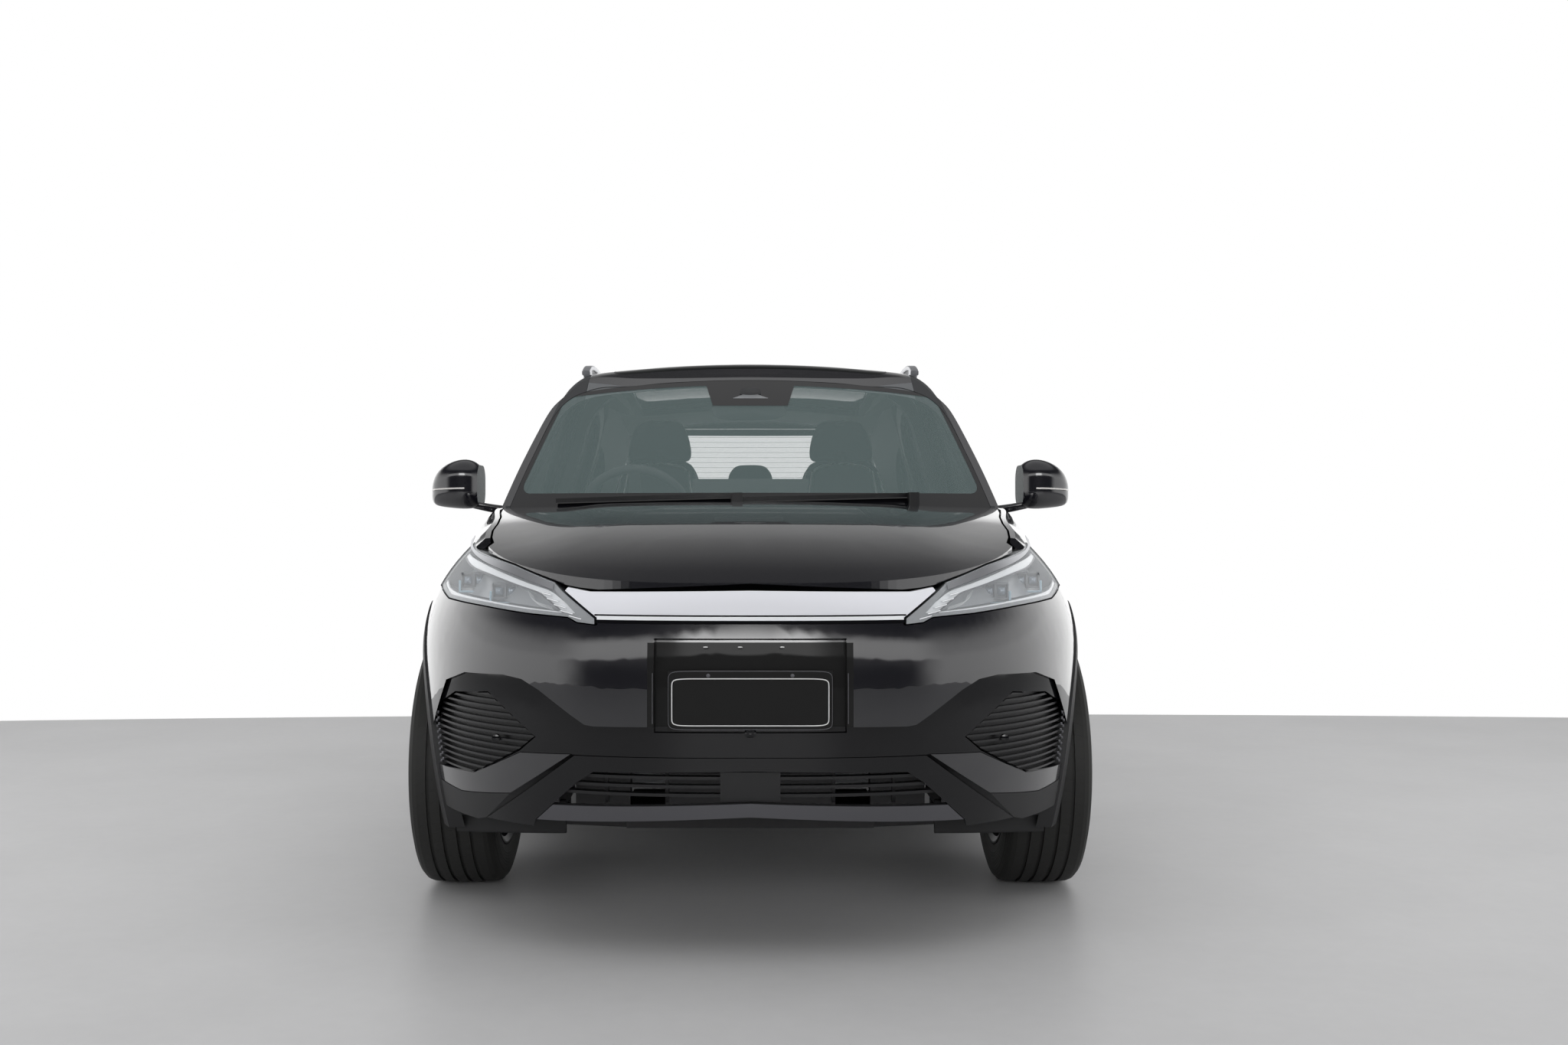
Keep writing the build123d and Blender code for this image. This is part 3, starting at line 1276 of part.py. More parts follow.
if __name__ == "__main__":
    for group in groups:
        write(group())
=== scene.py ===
import math

import bmesh
import bpy
import numpy as np
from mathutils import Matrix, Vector
from mathutils.bvhtree import BVHTree


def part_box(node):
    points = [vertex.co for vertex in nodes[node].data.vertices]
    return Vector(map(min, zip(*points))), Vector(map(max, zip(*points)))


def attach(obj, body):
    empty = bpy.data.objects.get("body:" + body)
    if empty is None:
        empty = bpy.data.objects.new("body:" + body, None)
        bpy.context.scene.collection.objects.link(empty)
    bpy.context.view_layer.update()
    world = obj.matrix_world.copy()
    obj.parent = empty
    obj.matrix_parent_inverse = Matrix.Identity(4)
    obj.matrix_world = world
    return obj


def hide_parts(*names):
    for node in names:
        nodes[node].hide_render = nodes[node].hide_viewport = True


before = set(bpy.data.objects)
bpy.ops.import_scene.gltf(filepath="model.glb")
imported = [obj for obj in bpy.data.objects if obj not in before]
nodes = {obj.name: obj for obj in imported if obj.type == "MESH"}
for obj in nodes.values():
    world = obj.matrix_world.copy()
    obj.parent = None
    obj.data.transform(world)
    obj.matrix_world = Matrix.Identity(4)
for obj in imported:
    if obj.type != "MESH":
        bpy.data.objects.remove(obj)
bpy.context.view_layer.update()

scene = bpy.context.scene
mm = 0.001
print("frame loaded,", len(nodes), "CAD nodes")


# a shader socket that turns arithmetic into Math nodes
class Value:
    def __init__(self, finish, socket):
        self.finish, self.socket = finish, socket

    def maths(self, operation, *inputs):
        return self.finish.node("ShaderNodeMath", {"operation": operation}, dict(enumerate(inputs)))

    def __add__(self, other):
        return self.maths("ADD", self, other)

    __radd__ = __add__

    def __sub__(self, other):
        return self.maths("SUBTRACT", self, other)

    def __rsub__(self, other):
        return self.maths("SUBTRACT", other, self)

    def __mul__(self, other):
        return self.maths("MULTIPLY", self, other)

    __rmul__ = __mul__

    def __truediv__(self, other):
        return self.maths("DIVIDE", self, other)

    def __abs__(self):
        return self.maths("ABSOLUTE", self)

    def above(self, limit):
        return self.maths("GREATER_THAN", self, limit)

    def below(self, limit):
        return self.maths("LESS_THAN", self, limit)

    def atLeast(self, limit):
        return self.maths("MAXIMUM", self, limit)

    def root(self):
        return self.maths("SQRT", self)


# makes the nodes of one tree
class Pattern:
    def __init__(self, tree):
        self.tree = tree

    def node(self, kind, settings, inputs, output=0):
        made = self.tree.nodes.new(kind)
        for key, value in settings.items():
            setattr(made, key, value)
        for key, value in inputs.items():
            if isinstance(value, Value):
                self.tree.links.new(value.socket, made.inputs[key])
            else:
                made.inputs[key].default_value = value
        return Value(self, made.outputs[output])

    def point(self, output="Object"):
        return self.node("ShaderNodeTexCoord", {}, {}, output)

    # x, y and z of the point, by default in the piece's own frame in metres
    def place(self, output="Object"):
        split = self.node("ShaderNodeSeparateXYZ", {}, {0: self.point(output)})
        return [Value(self, socket) for socket in split.socket.node.outputs]

    def mixColour(self, share, first, second):
        return self.node("ShaderNodeMix", {"data_type": "RGBA"}, {0: share, 6: first, 7: second}, 2)

    def bump(self, height, strength, distance):
        inputs = {"Strength": strength, "Distance": distance, "Height": height}
        return self.node("ShaderNodeBump", {}, inputs)


# one Principled material; constants go on its own sockets, patterns come in through node()
class Finish(Pattern):
    def __init__(self, name, constants):
        self.material = bpy.data.materials.new(name)
        self.material.use_nodes = True
        super().__init__(self.material.node_tree)
        self.shader = self.tree.nodes["Principled BSDF"]
        for socket, value in constants.items():
            self.shader.inputs[socket].default_value = value

    def feed(self, socket, value):
        self.tree.links.new(value.socket, self.shader.inputs[socket])

    # a fine noise bump
    def grain(self, scale, strength):
        noise = self.node("ShaderNodeTexNoise", {}, {"Vector": self.point(), "Scale": scale, "Detail": 2.0})
        self.feed("Normal", self.bump(noise, strength, mm))


def rgb(r, g, b):
    return (r, g, b, 1.0)


# body surfaces by the formulas of its panels, in millimetres, on whole arrays
length, bodyWidth, wheelbase, frontOverhang = 4455.0, 1868.0, 2720.0, 875.0
noseTip, tailTip = -length / 2, length / 2
frontAxle = noseTip + frontOverhang
rearAxle = frontAxle + wheelbase
axleHeight, halfTrack = 347.0, 787.5
noseBend, tailBend = frontAxle + 452.0, rearAxle - 118.0


def ease(value, start, end):
    t = np.clip((value - start) / (end - start), 0, 1)
    return t * t * (3 - 2 * t)


# half width of the flank: upright, with a cubic shoulder above and a square-law tuck below
def flankX(y, z):
    drop = -20 + 85 * ease(-y, 700, 1400) - 25 * ease(y, 0, 1300)
    over = np.maximum(0, z + drop - 700)
    under = np.maximum(0, 600 - z)
    waist = 11 * np.exp(-(((z - 500 - 0.05 * y) / 95) ** 2)) * ease(y, -1000, -500) * ease(-y, -1150, -700)
    return bodyWidth / 2 - 3 - 3.26e-6 * over**3 - 2.4e-4 * under**2 - waist


# a superellipse from the peak on the centre line to the flank, found by repeated substitution
def faceY(x, z, inset, peak, bend, power):
    y = peak.copy()
    for _ in range(40):
        share = np.clip(x / (flankX(y, z) - inset), 0, 1)
        y = 0.5 * y + 0.5 * (bend + (peak - bend) * (1 - share**power) ** (1 / power))
    return y


# the front face, its peak falling back with cubes of the height above and below the bar
def noseY(x, z, inset=0.0):
    x, z = np.broadcast_arrays(np.abs(np.asarray(x, float)), np.asarray(z, float))
    above, below = np.maximum(0, z - 560) / 300, np.maximum(0, 560 - z) / 300
    peak = noseTip + 57 * above**3 + 45 * below**3 + inset
    return faceY(x, z, inset, peak, noseBend, 2.75 - 0.4 * ease(z, 650, 950))


# the rear face, in the same way
def tailY(x, z, inset=0.0):
    x, z = np.broadcast_arrays(np.abs(np.asarray(x, float)), np.asarray(z, float))
    above, below = np.maximum(0, z - 620) / 300, np.maximum(0, 560 - z) / 300
    peak = tailTip - 26 * above**2.2 - 40 * below**2.5 - inset
    return faceY(x, z, inset, peak, tailBend, 3.3 + 0.9 * ease(z, 650, 950))


# the windscreen: a straight rake less a parabola between foot and top, bowed across by the square of x
def screenY(x, z, inset=0.0):
    rise = z - 1060
    return -985 + rise * 783 / 470 - 20 * (1 - ((rise - 235) / 235) ** 2) + 0.00027 * x * x + inset


# the rear window: a rake that steepens with the square of the height, bowed across
def backlightY(x, z):
    rise = z - 1110
    return 2146 - rise * 0.46 - 0.00012 * rise * np.abs(rise) - 0.00022 * x * x


# the roof on its centre line, falling ahead of and behind its highest point
def roofZ(y):
    ahead = np.minimum((200 - y) / 402, 1.9)
    return np.where(y < 200, 1612 - 82 * np.maximum(ahead, 0) ** 2.4, 1612 - 90 * ((y - 200) / 1760) ** 2)


# meshes from arrays
def addMesh(name, points, faces, finish, body, smooth=True):
    mesh = bpy.data.meshes.new(name)
    mesh.from_pydata(np.asarray(points, float).reshape(-1, 3).tolist(), [], [list(f) for f in faces])
    mesh.validate()
    if smooth:
        mesh.polygons.foreach_set("use_smooth", np.ones(len(mesh.polygons), bool))
    mesh.materials.append(finish.material)
    made = bpy.data.objects.new(name, mesh)
    scene.collection.objects.link(made)
    if body:
        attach(made, body)
    return made


# quads of a rows by columns grid, its ends joined where it closes
def gridFaces(rows, columns, closeRows=False, closeColumns=False, start=0):
    i = np.arange(rows if closeRows else rows - 1)
    j = np.arange(columns if closeColumns else columns - 1)
    a, b = np.meshgrid(i, j, indexing="ij")
    c, d = (a + 1) % rows, (b + 1) % columns
    quads = np.stack([a * columns + b, a * columns + d, c * columns + d, c * columns + b], -1)
    return quads.reshape(-1, 4) + start


# a closed bar: profile points (n, 2) carried along a path (m, 3), flat ends
def barFaces(rows, columns, start=0):
    sides = gridFaces(rows, columns, False, True, start).tolist()
    first = [start + k for k in range(columns)]
    last = [start + (rows - 1) * columns + k for k in range(columns)]
    return sides + [first, last[::-1]]


def carry(path, profile, up):
    path, profile = np.asarray(path, float), np.asarray(profile, float)
    along = np.gradient(path, axis=0)
    along /= np.linalg.norm(along, axis=1, keepdims=True)
    up = np.broadcast_to(np.asarray(up, float), path.shape)
    across = np.cross(along, up)
    across /= np.linalg.norm(across, axis=1, keepdims=True)
    rise = np.cross(across, along)
    profile = profile if profile.ndim == 3 else np.broadcast_to(profile, (len(path), *profile.shape))
    return path[:, None] + profile[:, :, :1] * across[:, None] + profile[:, :, 1:] * rise[:, None]


def barPart(path, profile, up):
    points = carry(path, profile, up)
    return points.reshape(-1, 3), barFaces(points.shape[0], points.shape[1])


def fixNormals(made):
    work = bmesh.new()
    work.from_mesh(made.data)
    bmesh.ops.remove_doubles(work, verts=work.verts, dist=1e-6)
    bmesh.ops.recalc_face_normals(work, faces=work.faces)
    work.to_mesh(made.data)
    work.free()


def circle(radius, count=8):
    a = np.linspace(0, 2 * np.pi, count, endpoint=False)
    return radius * np.stack([np.cos(a), np.sin(a)], -1)


# rounded rectangle as a superellipse: power 2 is an ellipse, larger is squarer
def squarish(width, height, power=5.0, count=32):
    a = np.linspace(0, 2 * np.pi, count, endpoint=False)
    c, s = np.cos(a), np.sin(a)
    return np.stack([width / 2 * np.sign(c) * np.abs(c) ** (2 / power),
                     height / 2 * np.sign(s) * np.abs(s) ** (2 / power)], -1)


# a smooth path through a few points, by Catmull-Rom weights
def through(points, count):
    points = np.asarray(points, float)
    padded = np.vstack([2 * points[0] - points[1], points, 2 * points[-1] - points[-2]])
    t = np.linspace(0, len(points) - 1 - 1e-9, count)
    k = t.astype(int)
    f = (t - k)[:, None]
    p0, p1, p2, p3 = padded[k], padded[k + 1], padded[k + 2], padded[k + 3]
    bend, twist = 2 * p0 - 5 * p1 + 4 * p2 - p3, 3 * p1 - p0 - 3 * p2 + p3
    return 0.5 * (2 * p1 + (p2 - p0) * f + bend * f**2 + twist * f**3)


def mirrored(part):
    points, faces = part
    return np.asarray(points, float) * np.array([-1, 1, 1]), faces


# a part made on the left, as it is or mirrored
def onSide(part, side):
    return part if side == "left" else mirrored(part)


# a thin solid between two grids of points of the same shape
def slabPart(front, back):
    rows, columns = front.shape[:2]
    count = rows * columns
    points = np.concatenate([front.reshape(-1, 3), back.reshape(-1, 3)])
    faces = gridFaces(rows, columns).tolist() + gridFaces(rows, columns, start=count)[:, ::-1].tolist()
    edge = np.concatenate([np.arange(columns), (np.arange(1, rows) * columns + columns - 1),
                           (rows - 1) * columns + np.arange(columns - 2, -1, -1),
                           np.arange(rows - 2, 0, -1) * columns])
    following = np.roll(edge, -1)
    faces += np.stack([edge, edge + count, following + count, following], -1).tolist()
    return points, faces


# boxes as centres (n, 3) and sizes (n, 3), or one size for all
def boxPart(centres, sizes):
    centres = np.asarray(centres, float).reshape(-1, 3)
    sizes = np.broadcast_to(np.asarray(sizes, float), centres.shape)
    corner = np.array([[x, y, z] for x in (-0.5, 0.5) for y in (-0.5, 0.5) for z in (-0.5, 0.5)])
    points = centres[:, None] + corner * sizes[:, None]
    quads = np.array([[0, 1, 3, 2], [4, 6, 7, 5], [0, 4, 5, 1], [2, 3, 7, 6], [0, 2, 6, 4], [1, 5, 7, 3]])
    faces = quads[None] + 8 * np.arange(len(centres))[:, None, None]
    return points.reshape(-1, 3), faces.reshape(-1, 4).tolist()


# a strip between an upper and a lower line of (x, z) points, laid on surface(x, z, inset) and given depth
def ribbonPart(surface, upper, lower, inset, deep, count=28, rows=4):
    a, b = through(upper, count), through(lower, count)
    t = np.linspace(0, 1, rows)[:, None, None]
    spot = a * (1 - t) + b * t
    x, z = spot[..., 0], spot[..., 1]
    front, back = surface(x, z, inset), surface(x, z, inset + deep)
    return slabPart(np.stack([x, front, z], -1), np.stack([x, back, z], -1))


# a line of (x, z) points on the same surface, with a thin bar along it
def linePart(surface, line, inset, profile, count=28):
    spot = through(line, count)
    path = np.stack([spot[:, 0], surface(spot[:, 0], spot[:, 1], inset), spot[:, 1]], -1)
    return barPart(path, profile, (0, -1, 0))


# a domed button that faces along y: rings of a rounded rectangle, falling with their square, flat behind
def domePart(centre, width, height, bulge, depth, power=5.0, away=(0, -1, 0)):
    rings = np.linspace(0, 1, 6)[:, None, None]
    outline = squarish(width, height, power)[None] * rings
    rise = np.broadcast_to(bulge * (1 - rings[..., 0] ** 2), outline.shape[:2])
    rise = np.concatenate([rise, np.full((2, outline.shape[1]), -float(depth))])
    outline = np.concatenate([outline, outline[-1:], outline[:1]])
    flat = np.stack([outline[..., 0], np.zeros(rise.shape), outline[..., 1]], -1)
    points = np.asarray(centre, float) + flat + rise[..., None] * np.asarray(away, float)
    return points.reshape(-1, 3), gridFaces(len(points), points.shape[1], False, True).tolist()


# one mesh from several parts in millimetres, with their mirror images where they come in pairs
def build(name, parts, finish, body, pair=False, smooth=True, turn=40):
    if pair:
        parts = parts + [mirrored(part) for part in parts]
    points = np.concatenate([part[0] for part in parts]) * mm
    starts = np.cumsum([0] + [len(part[0]) for part in parts[:-1]])
    faces = [(np.array(face) + start).tolist() for part, start in zip(parts, starts) for face in part[1]]
    made = addMesh(name, points, faces, finish, body, smooth)
    fixNormals(made)
    if smooth:
        made.data.set_sharp_from_angle(angle=math.radians(turn))
    return made


# finishes
paintSizes = {"base": rgb(0.006, 0.006, 0.009), "roughness": 0.22,
              "coat": {"Specular IOR Level": 0.35, "Coat Roughness": 0.015, "Coat IOR": 1.7}}


def blackPaint():
    surface = {"Base Color": paintSizes["base"], "Roughness": paintSizes["roughness"], "Coat Weight": 1.0}
    return Finish("body paint, gloss black", {**surface, **paintSizes["coat"]})


doorSides = {"waist": 0.62, "half": 0.888, "tuck": 0.25, "shoulder": 1.64, "sill": 1.035, "glass": 0.789,
             "lean": 0.265, "bend": 0.08, "join": 1.04, "trim": rgb(0.022, 0.022, 0.024)}


# doors: paint outside a line within their thickness, on the panel and then the window frame, trim inside
def doorFinish():
    s = doorSides
    made = Finish("door, paint outside and trim inside", paintSizes["coat"])
    x, y, z = made.place()
    over, under = (z - s["waist"]).atLeast(0), (s["waist"] - z).atLeast(0)
    below = s["half"] - under * under * s["tuck"] - over * over * over * s["shoulder"]
    rise = z - s["sill"]
    above = s["glass"] - rise * s["lean"] - rise * rise * s["bend"]
    limit = below * z.below(s["join"]) + above * z.above(s["join"])
    outside = (abs(x) - limit).above(0)
    made.feed("Base Color", made.mixColour(outside, s["trim"], paintSizes["base"]))
    made.feed("Roughness", 0.62 - outside * 0.4)
    made.feed("Coat Weight", outside)
    return made


roofSides = {"crest": 0.2, "top": 1.612, "aheadReach": 0.402, "aheadFall": 0.082, "behindReach": 1.76,
             "behindFall": 0.090, "crown": 0.055, "skin": 0.020, "half": 0.60, "low": 1.2, "rear": 1.80,
             "lining": rgb(0.10, 0.105, 0.11)}


# roof panel: paint outside, matt lining on the cabin side, which lies below the crowned top by its skin
def roofFinish():
    s = roofSides
    made = Finish("roof paint over a matt lining", paintSizes["coat"])
    x, y, z = made.place()
    ahead = ((s["crest"] - y) / s["aheadReach"]).atLeast(0)
    behind = ((y - s["crest"]) / s["behindReach"]).atLeast(0)
    top = s["top"] - ahead * ahead * s["aheadFall"] - behind * behind * s["behindFall"] - x * x * s["crown"]
    outside = (z - top + s["skin"]).above(0).atLeast(abs(x).above(s["half"]))
    outside = outside.atLeast(z.below(s["low"])).atLeast(y.above(s["rear"]))
    made.feed("Base Color", made.mixColour(outside, s["lining"], paintSizes["base"]))
    made.feed("Roughness", 0.85 - outside * 0.63)
    made.feed("Coat Weight", outside)
    return made


pillarSides = {"aheadFrom": 0.1, "aheadReach": 0.73, "aheadFall": 0.022, "behindFrom": 0.9,
               "behindReach": 1.2, "behindFall": 0.130, "half": 0.819, "sill": 1.035, "lean": 0.265,
               "skin": 0.030, "join": 1.06, "rear": 1.83, "loadHalf": 0.78, "loadRear": 1.75,
               "trim": rgb(0.03, 0.031, 0.033)}


# body sides: paint outside, matt trim on the pillars' cabin faces and beside the load space
def sideFinish():
    s = pillarSides
    made = Finish("body side paint, trim inside", paintSizes["coat"])
    x, y, z = made.place()
    ahead = ((0 - y - s["aheadFrom"]) / s["aheadReach"]).atLeast(0)
    behind = ((y - s["behindFrom"]) / s["behindReach"]).atLeast(0)
    base = s["half"] - ahead * ahead * s["aheadFall"] - behind * behind * s["behindFall"]
    half = base - (z - s["sill"]) * s["lean"]
    high = z.above(s["join"]) * (abs(x) - half + s["skin"]).below(0) * y.below(s["rear"])
    low = z.below(s["join"]) * abs(x).below(s["loadHalf"]) * y.below(s["loadRear"])
    inside = high.atLeast(low)
    made.feed("Base Color", made.mixColour(inside, paintSizes["base"], s["trim"]))
    made.feed("Roughness", paintSizes["roughness"] + inside * 0.5)
    made.feed("Coat Weight", 1.0 - inside)
    return made


# the recessed bay round the front plate; its near-black colour is painted shade
plateBay = {"half": 0.233, "low": 0.545, "high": 0.735, "black": rgb(0.002, 0.002, 0.002)}


# front bumper: paint, with painted shade in the recessed bay round the plate: near black, matt and barely
# coated there
def bumperFinish():
    made = Finish("front bumper paint, painted shade in the plate bay", paintSizes["coat"])
    x, y, z = made.place()
    # the bay's painted shade: near-black, matt colour where the recess lies in shade
    bay = abs(x).below(plateBay["half"]) * z.above(plateBay["low"]) * z.below(plateBay["high"])
    made.feed("Base Color", made.mixColour(bay, paintSizes["base"], plateBay["black"]))
    made.feed("Roughness", bay * 0.5 + paintSizes["roughness"])
    made.feed("Coat Weight", 1.0 - bay * 0.9)
    return made


def plain(name, colour, roughness, **more):
    constants = {"Base Color": colour, "Roughness": roughness}
    constants.update({key.replace("_", " "): value for key, value in more.items()})
    return Finish(name, constants)


def grained(name, colour, roughness, scale, strength):
    made = plain(name, colour, roughness)
    made.grain(scale, strength)
    return made


# windows: see-through by alpha, with the black printed band round their edge
def windowFinish(name, alpha, band, tint, shine=0.5):
    made = Finish(name, {"Base Color": tint, "Roughness": 0.0, "Specular IOR Level": shine, "Alpha": alpha})
    if band:
        x, y, z = made.place()
        shade = band(x, z)
        made.feed("Alpha", alpha + shade * (1 - alpha))
        made.feed("Base Color", made.mixColour(shade, tint, rgb(0.003, 0.003, 0.004)))
    return made


screenBand = {"foot": 1.030, "footHalf": 0.770, "lean": 0.2277, "side": 0.012, "low": 1.100, "high": 1.497,
              "crown": 0.0966, "round": 0.035, "sensorLow": 1.412, "sensorHalf": 0.130, "sensorLean": 0.32}


# outside a rounded box whose sides lean with the pillars, or inside the sensor field at the top
def screenShade(x, z):
    s = screenBand
    side = s["footHalf"] - (z - s["foot"]) * s["lean"] - s["side"] - s["round"]
    away = (abs(x) - side).atLeast(0)
    top = s["high"] - x * x * s["crown"] - s["round"]
    off = (z - top).atLeast(0) + (s["low"] + s["round"] - z).atLeast(0)
    edge = (away * away + off * off).root().above(s["round"])
    half = s["sensorHalf"] + (z - s["sensorLow"]) * s["sensorLean"]
    field = (abs(x) - half).below(0) * z.above(s["sensorLow"])
    return edge.atLeast(field)


backlightBand = {"half": 0.600, "foot": 1.14, "lean": 0.30, "side": 0.05, "low": 1.215, "high": 1.40,
                 "round": 0.045, "wireStep": 0.0125, "wireFrom": 0.0116, "wire": 0.35}


# the rear window's band in the same way, with level heater wires between
def heaterLines(x, z):
    s = backlightBand
    side = s["half"] - (z - s["foot"]) * s["lean"] - s["side"]
    away = (abs(x) - side).atLeast(0)
    off = (z - s["high"]).atLeast(0) + (s["low"] - z).atLeast(0)
    shade = (away * away + off * off).root().above(s["round"])
    wires = z.maths("PINGPONG", z, s["wireStep"]).above(s["wireFrom"])
    return shade.atLeast(wires * s["wire"])


tyreSizes = {"cuts": 72, "slant": 9.0, "cutShare": 0.13, "tread": 0.3395, "wall": (0.262, 0.325),
             "ring": 0.004}


# tyre: rubber, cross cuts in the tread and fine rings on the wall, from angle and radius about its axle
def tyreFinish():
    made = Finish("tyre rubber", {"Base Color": rgb(0.011, 0.011, 0.010), "Roughness": 0.62})
    x, y, z = made.place()
    fore = y - y.below(0) * (frontAxle * mm) - y.above(0) * (rearAxle * mm)
    up = z - axleHeight * mm
    radius = (fore * fore + up * up).root()
    angle = fore.maths("ARCTAN2", fore, up)
    lateral = abs(x) - halfTrack * mm
    turns = angle * (tyreSizes["cuts"] / (2 * math.pi)) + abs(lateral) * tyreSizes["slant"]
    cuts = turns.maths("FRACT", turns).below(tyreSizes["cutShare"])
    tread = radius.above(tyreSizes["tread"])
    rings = radius.maths("PINGPONG", radius, tyreSizes["ring"]) * 120
    wallLow, wallHigh = tyreSizes["wall"]
    relief = tread * (1 - cuts) + (1 - tread) * rings * radius.above(wallLow) * radius.below(wallHigh)
    made.feed("Normal", made.bump(relief, 0.75, 2 * mm))
    return made


wheelTones = {"faceOut": 0.0845, "dark": rgb(0.045, 0.046, 0.05), "polished": rgb(0.62, 0.63, 0.65)}


# wheel: polished outer faces over dark arms and barrel
def wheelFinish():
    made = Finish("wheel, two tones", {})
    x = made.place()[0]
    face = (abs(x) - halfTrack * mm).above(wheelTones["faceOut"])
    made.feed("Base Color", made.mixColour(face, wheelTones["dark"], wheelTones["polished"]))
    made.feed("Metallic", face * 0.6 + 0.4)
    made.feed("Roughness", 0.38 - face * 0.12)
    return made


def concreteFloor():
    made = Finish("studio floor", {"Roughness": 0.42, "Specular IOR Level": 0.3})
    point = made.point()
    broad = {"Vector": point, "Scale": 1.3, "Detail": 6.0, "Roughness": 0.6}
    clouds = made.node("ShaderNodeTexNoise", {}, broad)
    fine = made.node("ShaderNodeTexNoise", {}, {"Vector": point, "Scale": 22.0, "Detail": 3.0})
    share = (clouds - 0.5) * 0.75 + (fine - 0.5) * 0.22 + 0.5
    made.feed("Base Color", made.mixColour(share, rgb(0.40, 0.40, 0.405), rgb(0.53, 0.53, 0.535)))
    return made


paint = blackPaint()
roofPaint = roofFinish()
bumper = bumperFinish()
bodySide = sideFinish()
doorPaint = doorFinish()
gloss = plain("trim, gloss black", rgb(0.004, 0.004, 0.005), 0.06, Specular_IOR_Level=0.4)
barSilver = plain("nose bar, pale silver", rgb(0.84, 0.85, 0.90), 0.24, Metallic=0.22)
satinBlack = grained("trim, satin black", rgb(0.007, 0.007, 0.008), 0.36, 900, 0.12)
mattBlack = grained("trim, matt black", rgb(0.010, 0.010, 0.011), 0.55, 700, 0.3)
satinSilver = plain("satin silver", rgb(0.56, 0.57, 0.60), 0.30, Metallic=0.85)
darkSilver = plain("dark satin silver", rgb(0.12, 0.12, 0.13), 0.34, Metallic=0.8)
bright = plain("bright reflector", rgb(0.82, 0.83, 0.85), 0.12, Metallic=1.0)
lampWhite = plain("lamp guide, pale", rgb(0.80, 0.82, 0.84), 0.25, Coat_Weight=0.6)
lampClear = plain("lamp lens, clear", rgb(0.76, 0.79, 0.82), 0.02, Alpha=0.14, Specular_IOR_Level=0.6)
lampHouse = plain("lamp housing, grey", rgb(0.23, 0.24, 0.25), 0.3, Metallic=0.4)
lampRed = plain("tail lamp, red", rgb(0.32, 0.006, 0.008), 0.06, Coat_Weight=1.0)
lampRedDark = plain("tail lamp, dark red", rgb(0.09, 0.004, 0.005), 0.05, Coat_Weight=1.0)
projectorGlass = plain("projector lens", rgb(0.30, 0.36, 0.42), 0.03, Metallic=0.55, Coat_Weight=1.0)
tyre = tyreFinish()
wheel = wheelFinish()
metal = plain("cast metal", rgb(0.30, 0.30, 0.31), 0.45, Metallic=0.7)
darkMetal = plain("chassis metal, dark", rgb(0.05, 0.05, 0.052), 0.5, Metallic=0.3)
packCase = plain("battery case", rgb(0.17, 0.175, 0.18), 0.45, Metallic=0.5)
windscreenGlass = windowFinish("windscreen glass", 0.20, screenShade, rgb(0.21, 0.285, 0.285))
doorGlass = windowFinish("side glass", 0.90, None, rgb(0.03, 0.045, 0.045), 0.02)
rearGlass = windowFinish("rear window glass", 0.11, heaterLines, rgb(0.20, 0.32, 0.33))
roofGlass = windowFinish("roof glass, dark", 0.985, None, rgb(0.006, 0.007, 0.007), 0.02)
cabinTrim = grained("cabin trim, dark grey", rgb(0.03, 0.031, 0.033), 0.6, 500, 0.2)
cabinPale = grained("cabin trim, pale grey", rgb(0.16, 0.165, 0.17), 0.65, 500, 0.2)
leather = grained("seat cover", rgb(0.035, 0.036, 0.04), 0.5, 260, 0.35)
piping = plain("seat piping", rgb(0.75, 0.77, 0.78), 0.5)
mirrorGlass = plain("mirror glass", rgb(0.75, 0.77, 0.80), 0.02, Metallic=1.0)
plateBlack = plain("plate, black", rgb(0.004, 0.004, 0.004), 0.4, Specular_IOR_Level=0.25)
plateLine = plain("plate, white line", rgb(0.75, 0.75, 0.75), 0.4)
plateWhite = plain("plate, white", rgb(0.72, 0.72, 0.71), 0.4)
lampPale = plain("lamp cell, pale grey", rgb(0.42, 0.44, 0.46), 0.28, Metallic=0.35)
lampBlue = plain("lamp strip, blue white", rgb(0.42, 0.58, 0.68), 0.2, Coat_Weight=0.6)
screenGlass = plain("cabin screen", rgb(0.006, 0.007, 0.009), 0.08)
amber = plain("indicator", rgb(0.62, 0.60, 0.58), 0.12, Coat_Weight=1.0)
print("finishes made")

finishOf = {
    "bonnet": paint, "fenders": paint, "front_bumper": bumper, "body_sides": bodySide,
    "roof_panel": roofPaint, "tailgate": paint, "rear_bumper": paint, "front_trim": gloss,
    "headlamp_lenses": lampClear, "headlamp_bodies": lampHouse, "front_lips": mattBlack,
    "side_grilles": satinBlack, "lower_grille": satinBlack, "skid_strip": darkSilver,
    "nose_bar": barSilver, "windscreen": windscreenGlass, "tailgate_glass": rearGlass,
    "roof_glass": roofGlass, "quarter_glass": doorGlass, "tailgate_lamp": lampRedDark,
    "tail_lamps": lampRed, "arch_trims": mattBlack, "cowl_and_wipers": satinBlack,
    "posts_and_sills": cabinTrim, "underbody": darkMetal, "battery_pack": packCase,
    "front_suspension": darkMetal, "rear_suspension": darkMetal, "steering_wheel": cabinTrim,
    "dashboard": cabinTrim, "roof_rails": satinSilver, "number_plate_front": plateBlack,
    "number_plate_rear": plateWhite, "front_seats": leather, "rear_seats": leather,
}
sides = ("left", "right")
ends = ("front", "rear")
for side in sides:
    finishOf.update({f"mirror_{side}": paint, f"knuckle_{side}": metal})
    for end in ends:
        finishOf.update({f"tyre_{end}_{side}": tyre, f"wheel_{end}_{side}": wheel,
                         f"{end}_door_{side}": doorPaint, f"{end}_door_glass_{side}": doorGlass})
for name, node in nodes.items():
    node.data.materials.clear()
    node.data.materials.append(finishOf[name].material)
print("CAD nodes dressed")


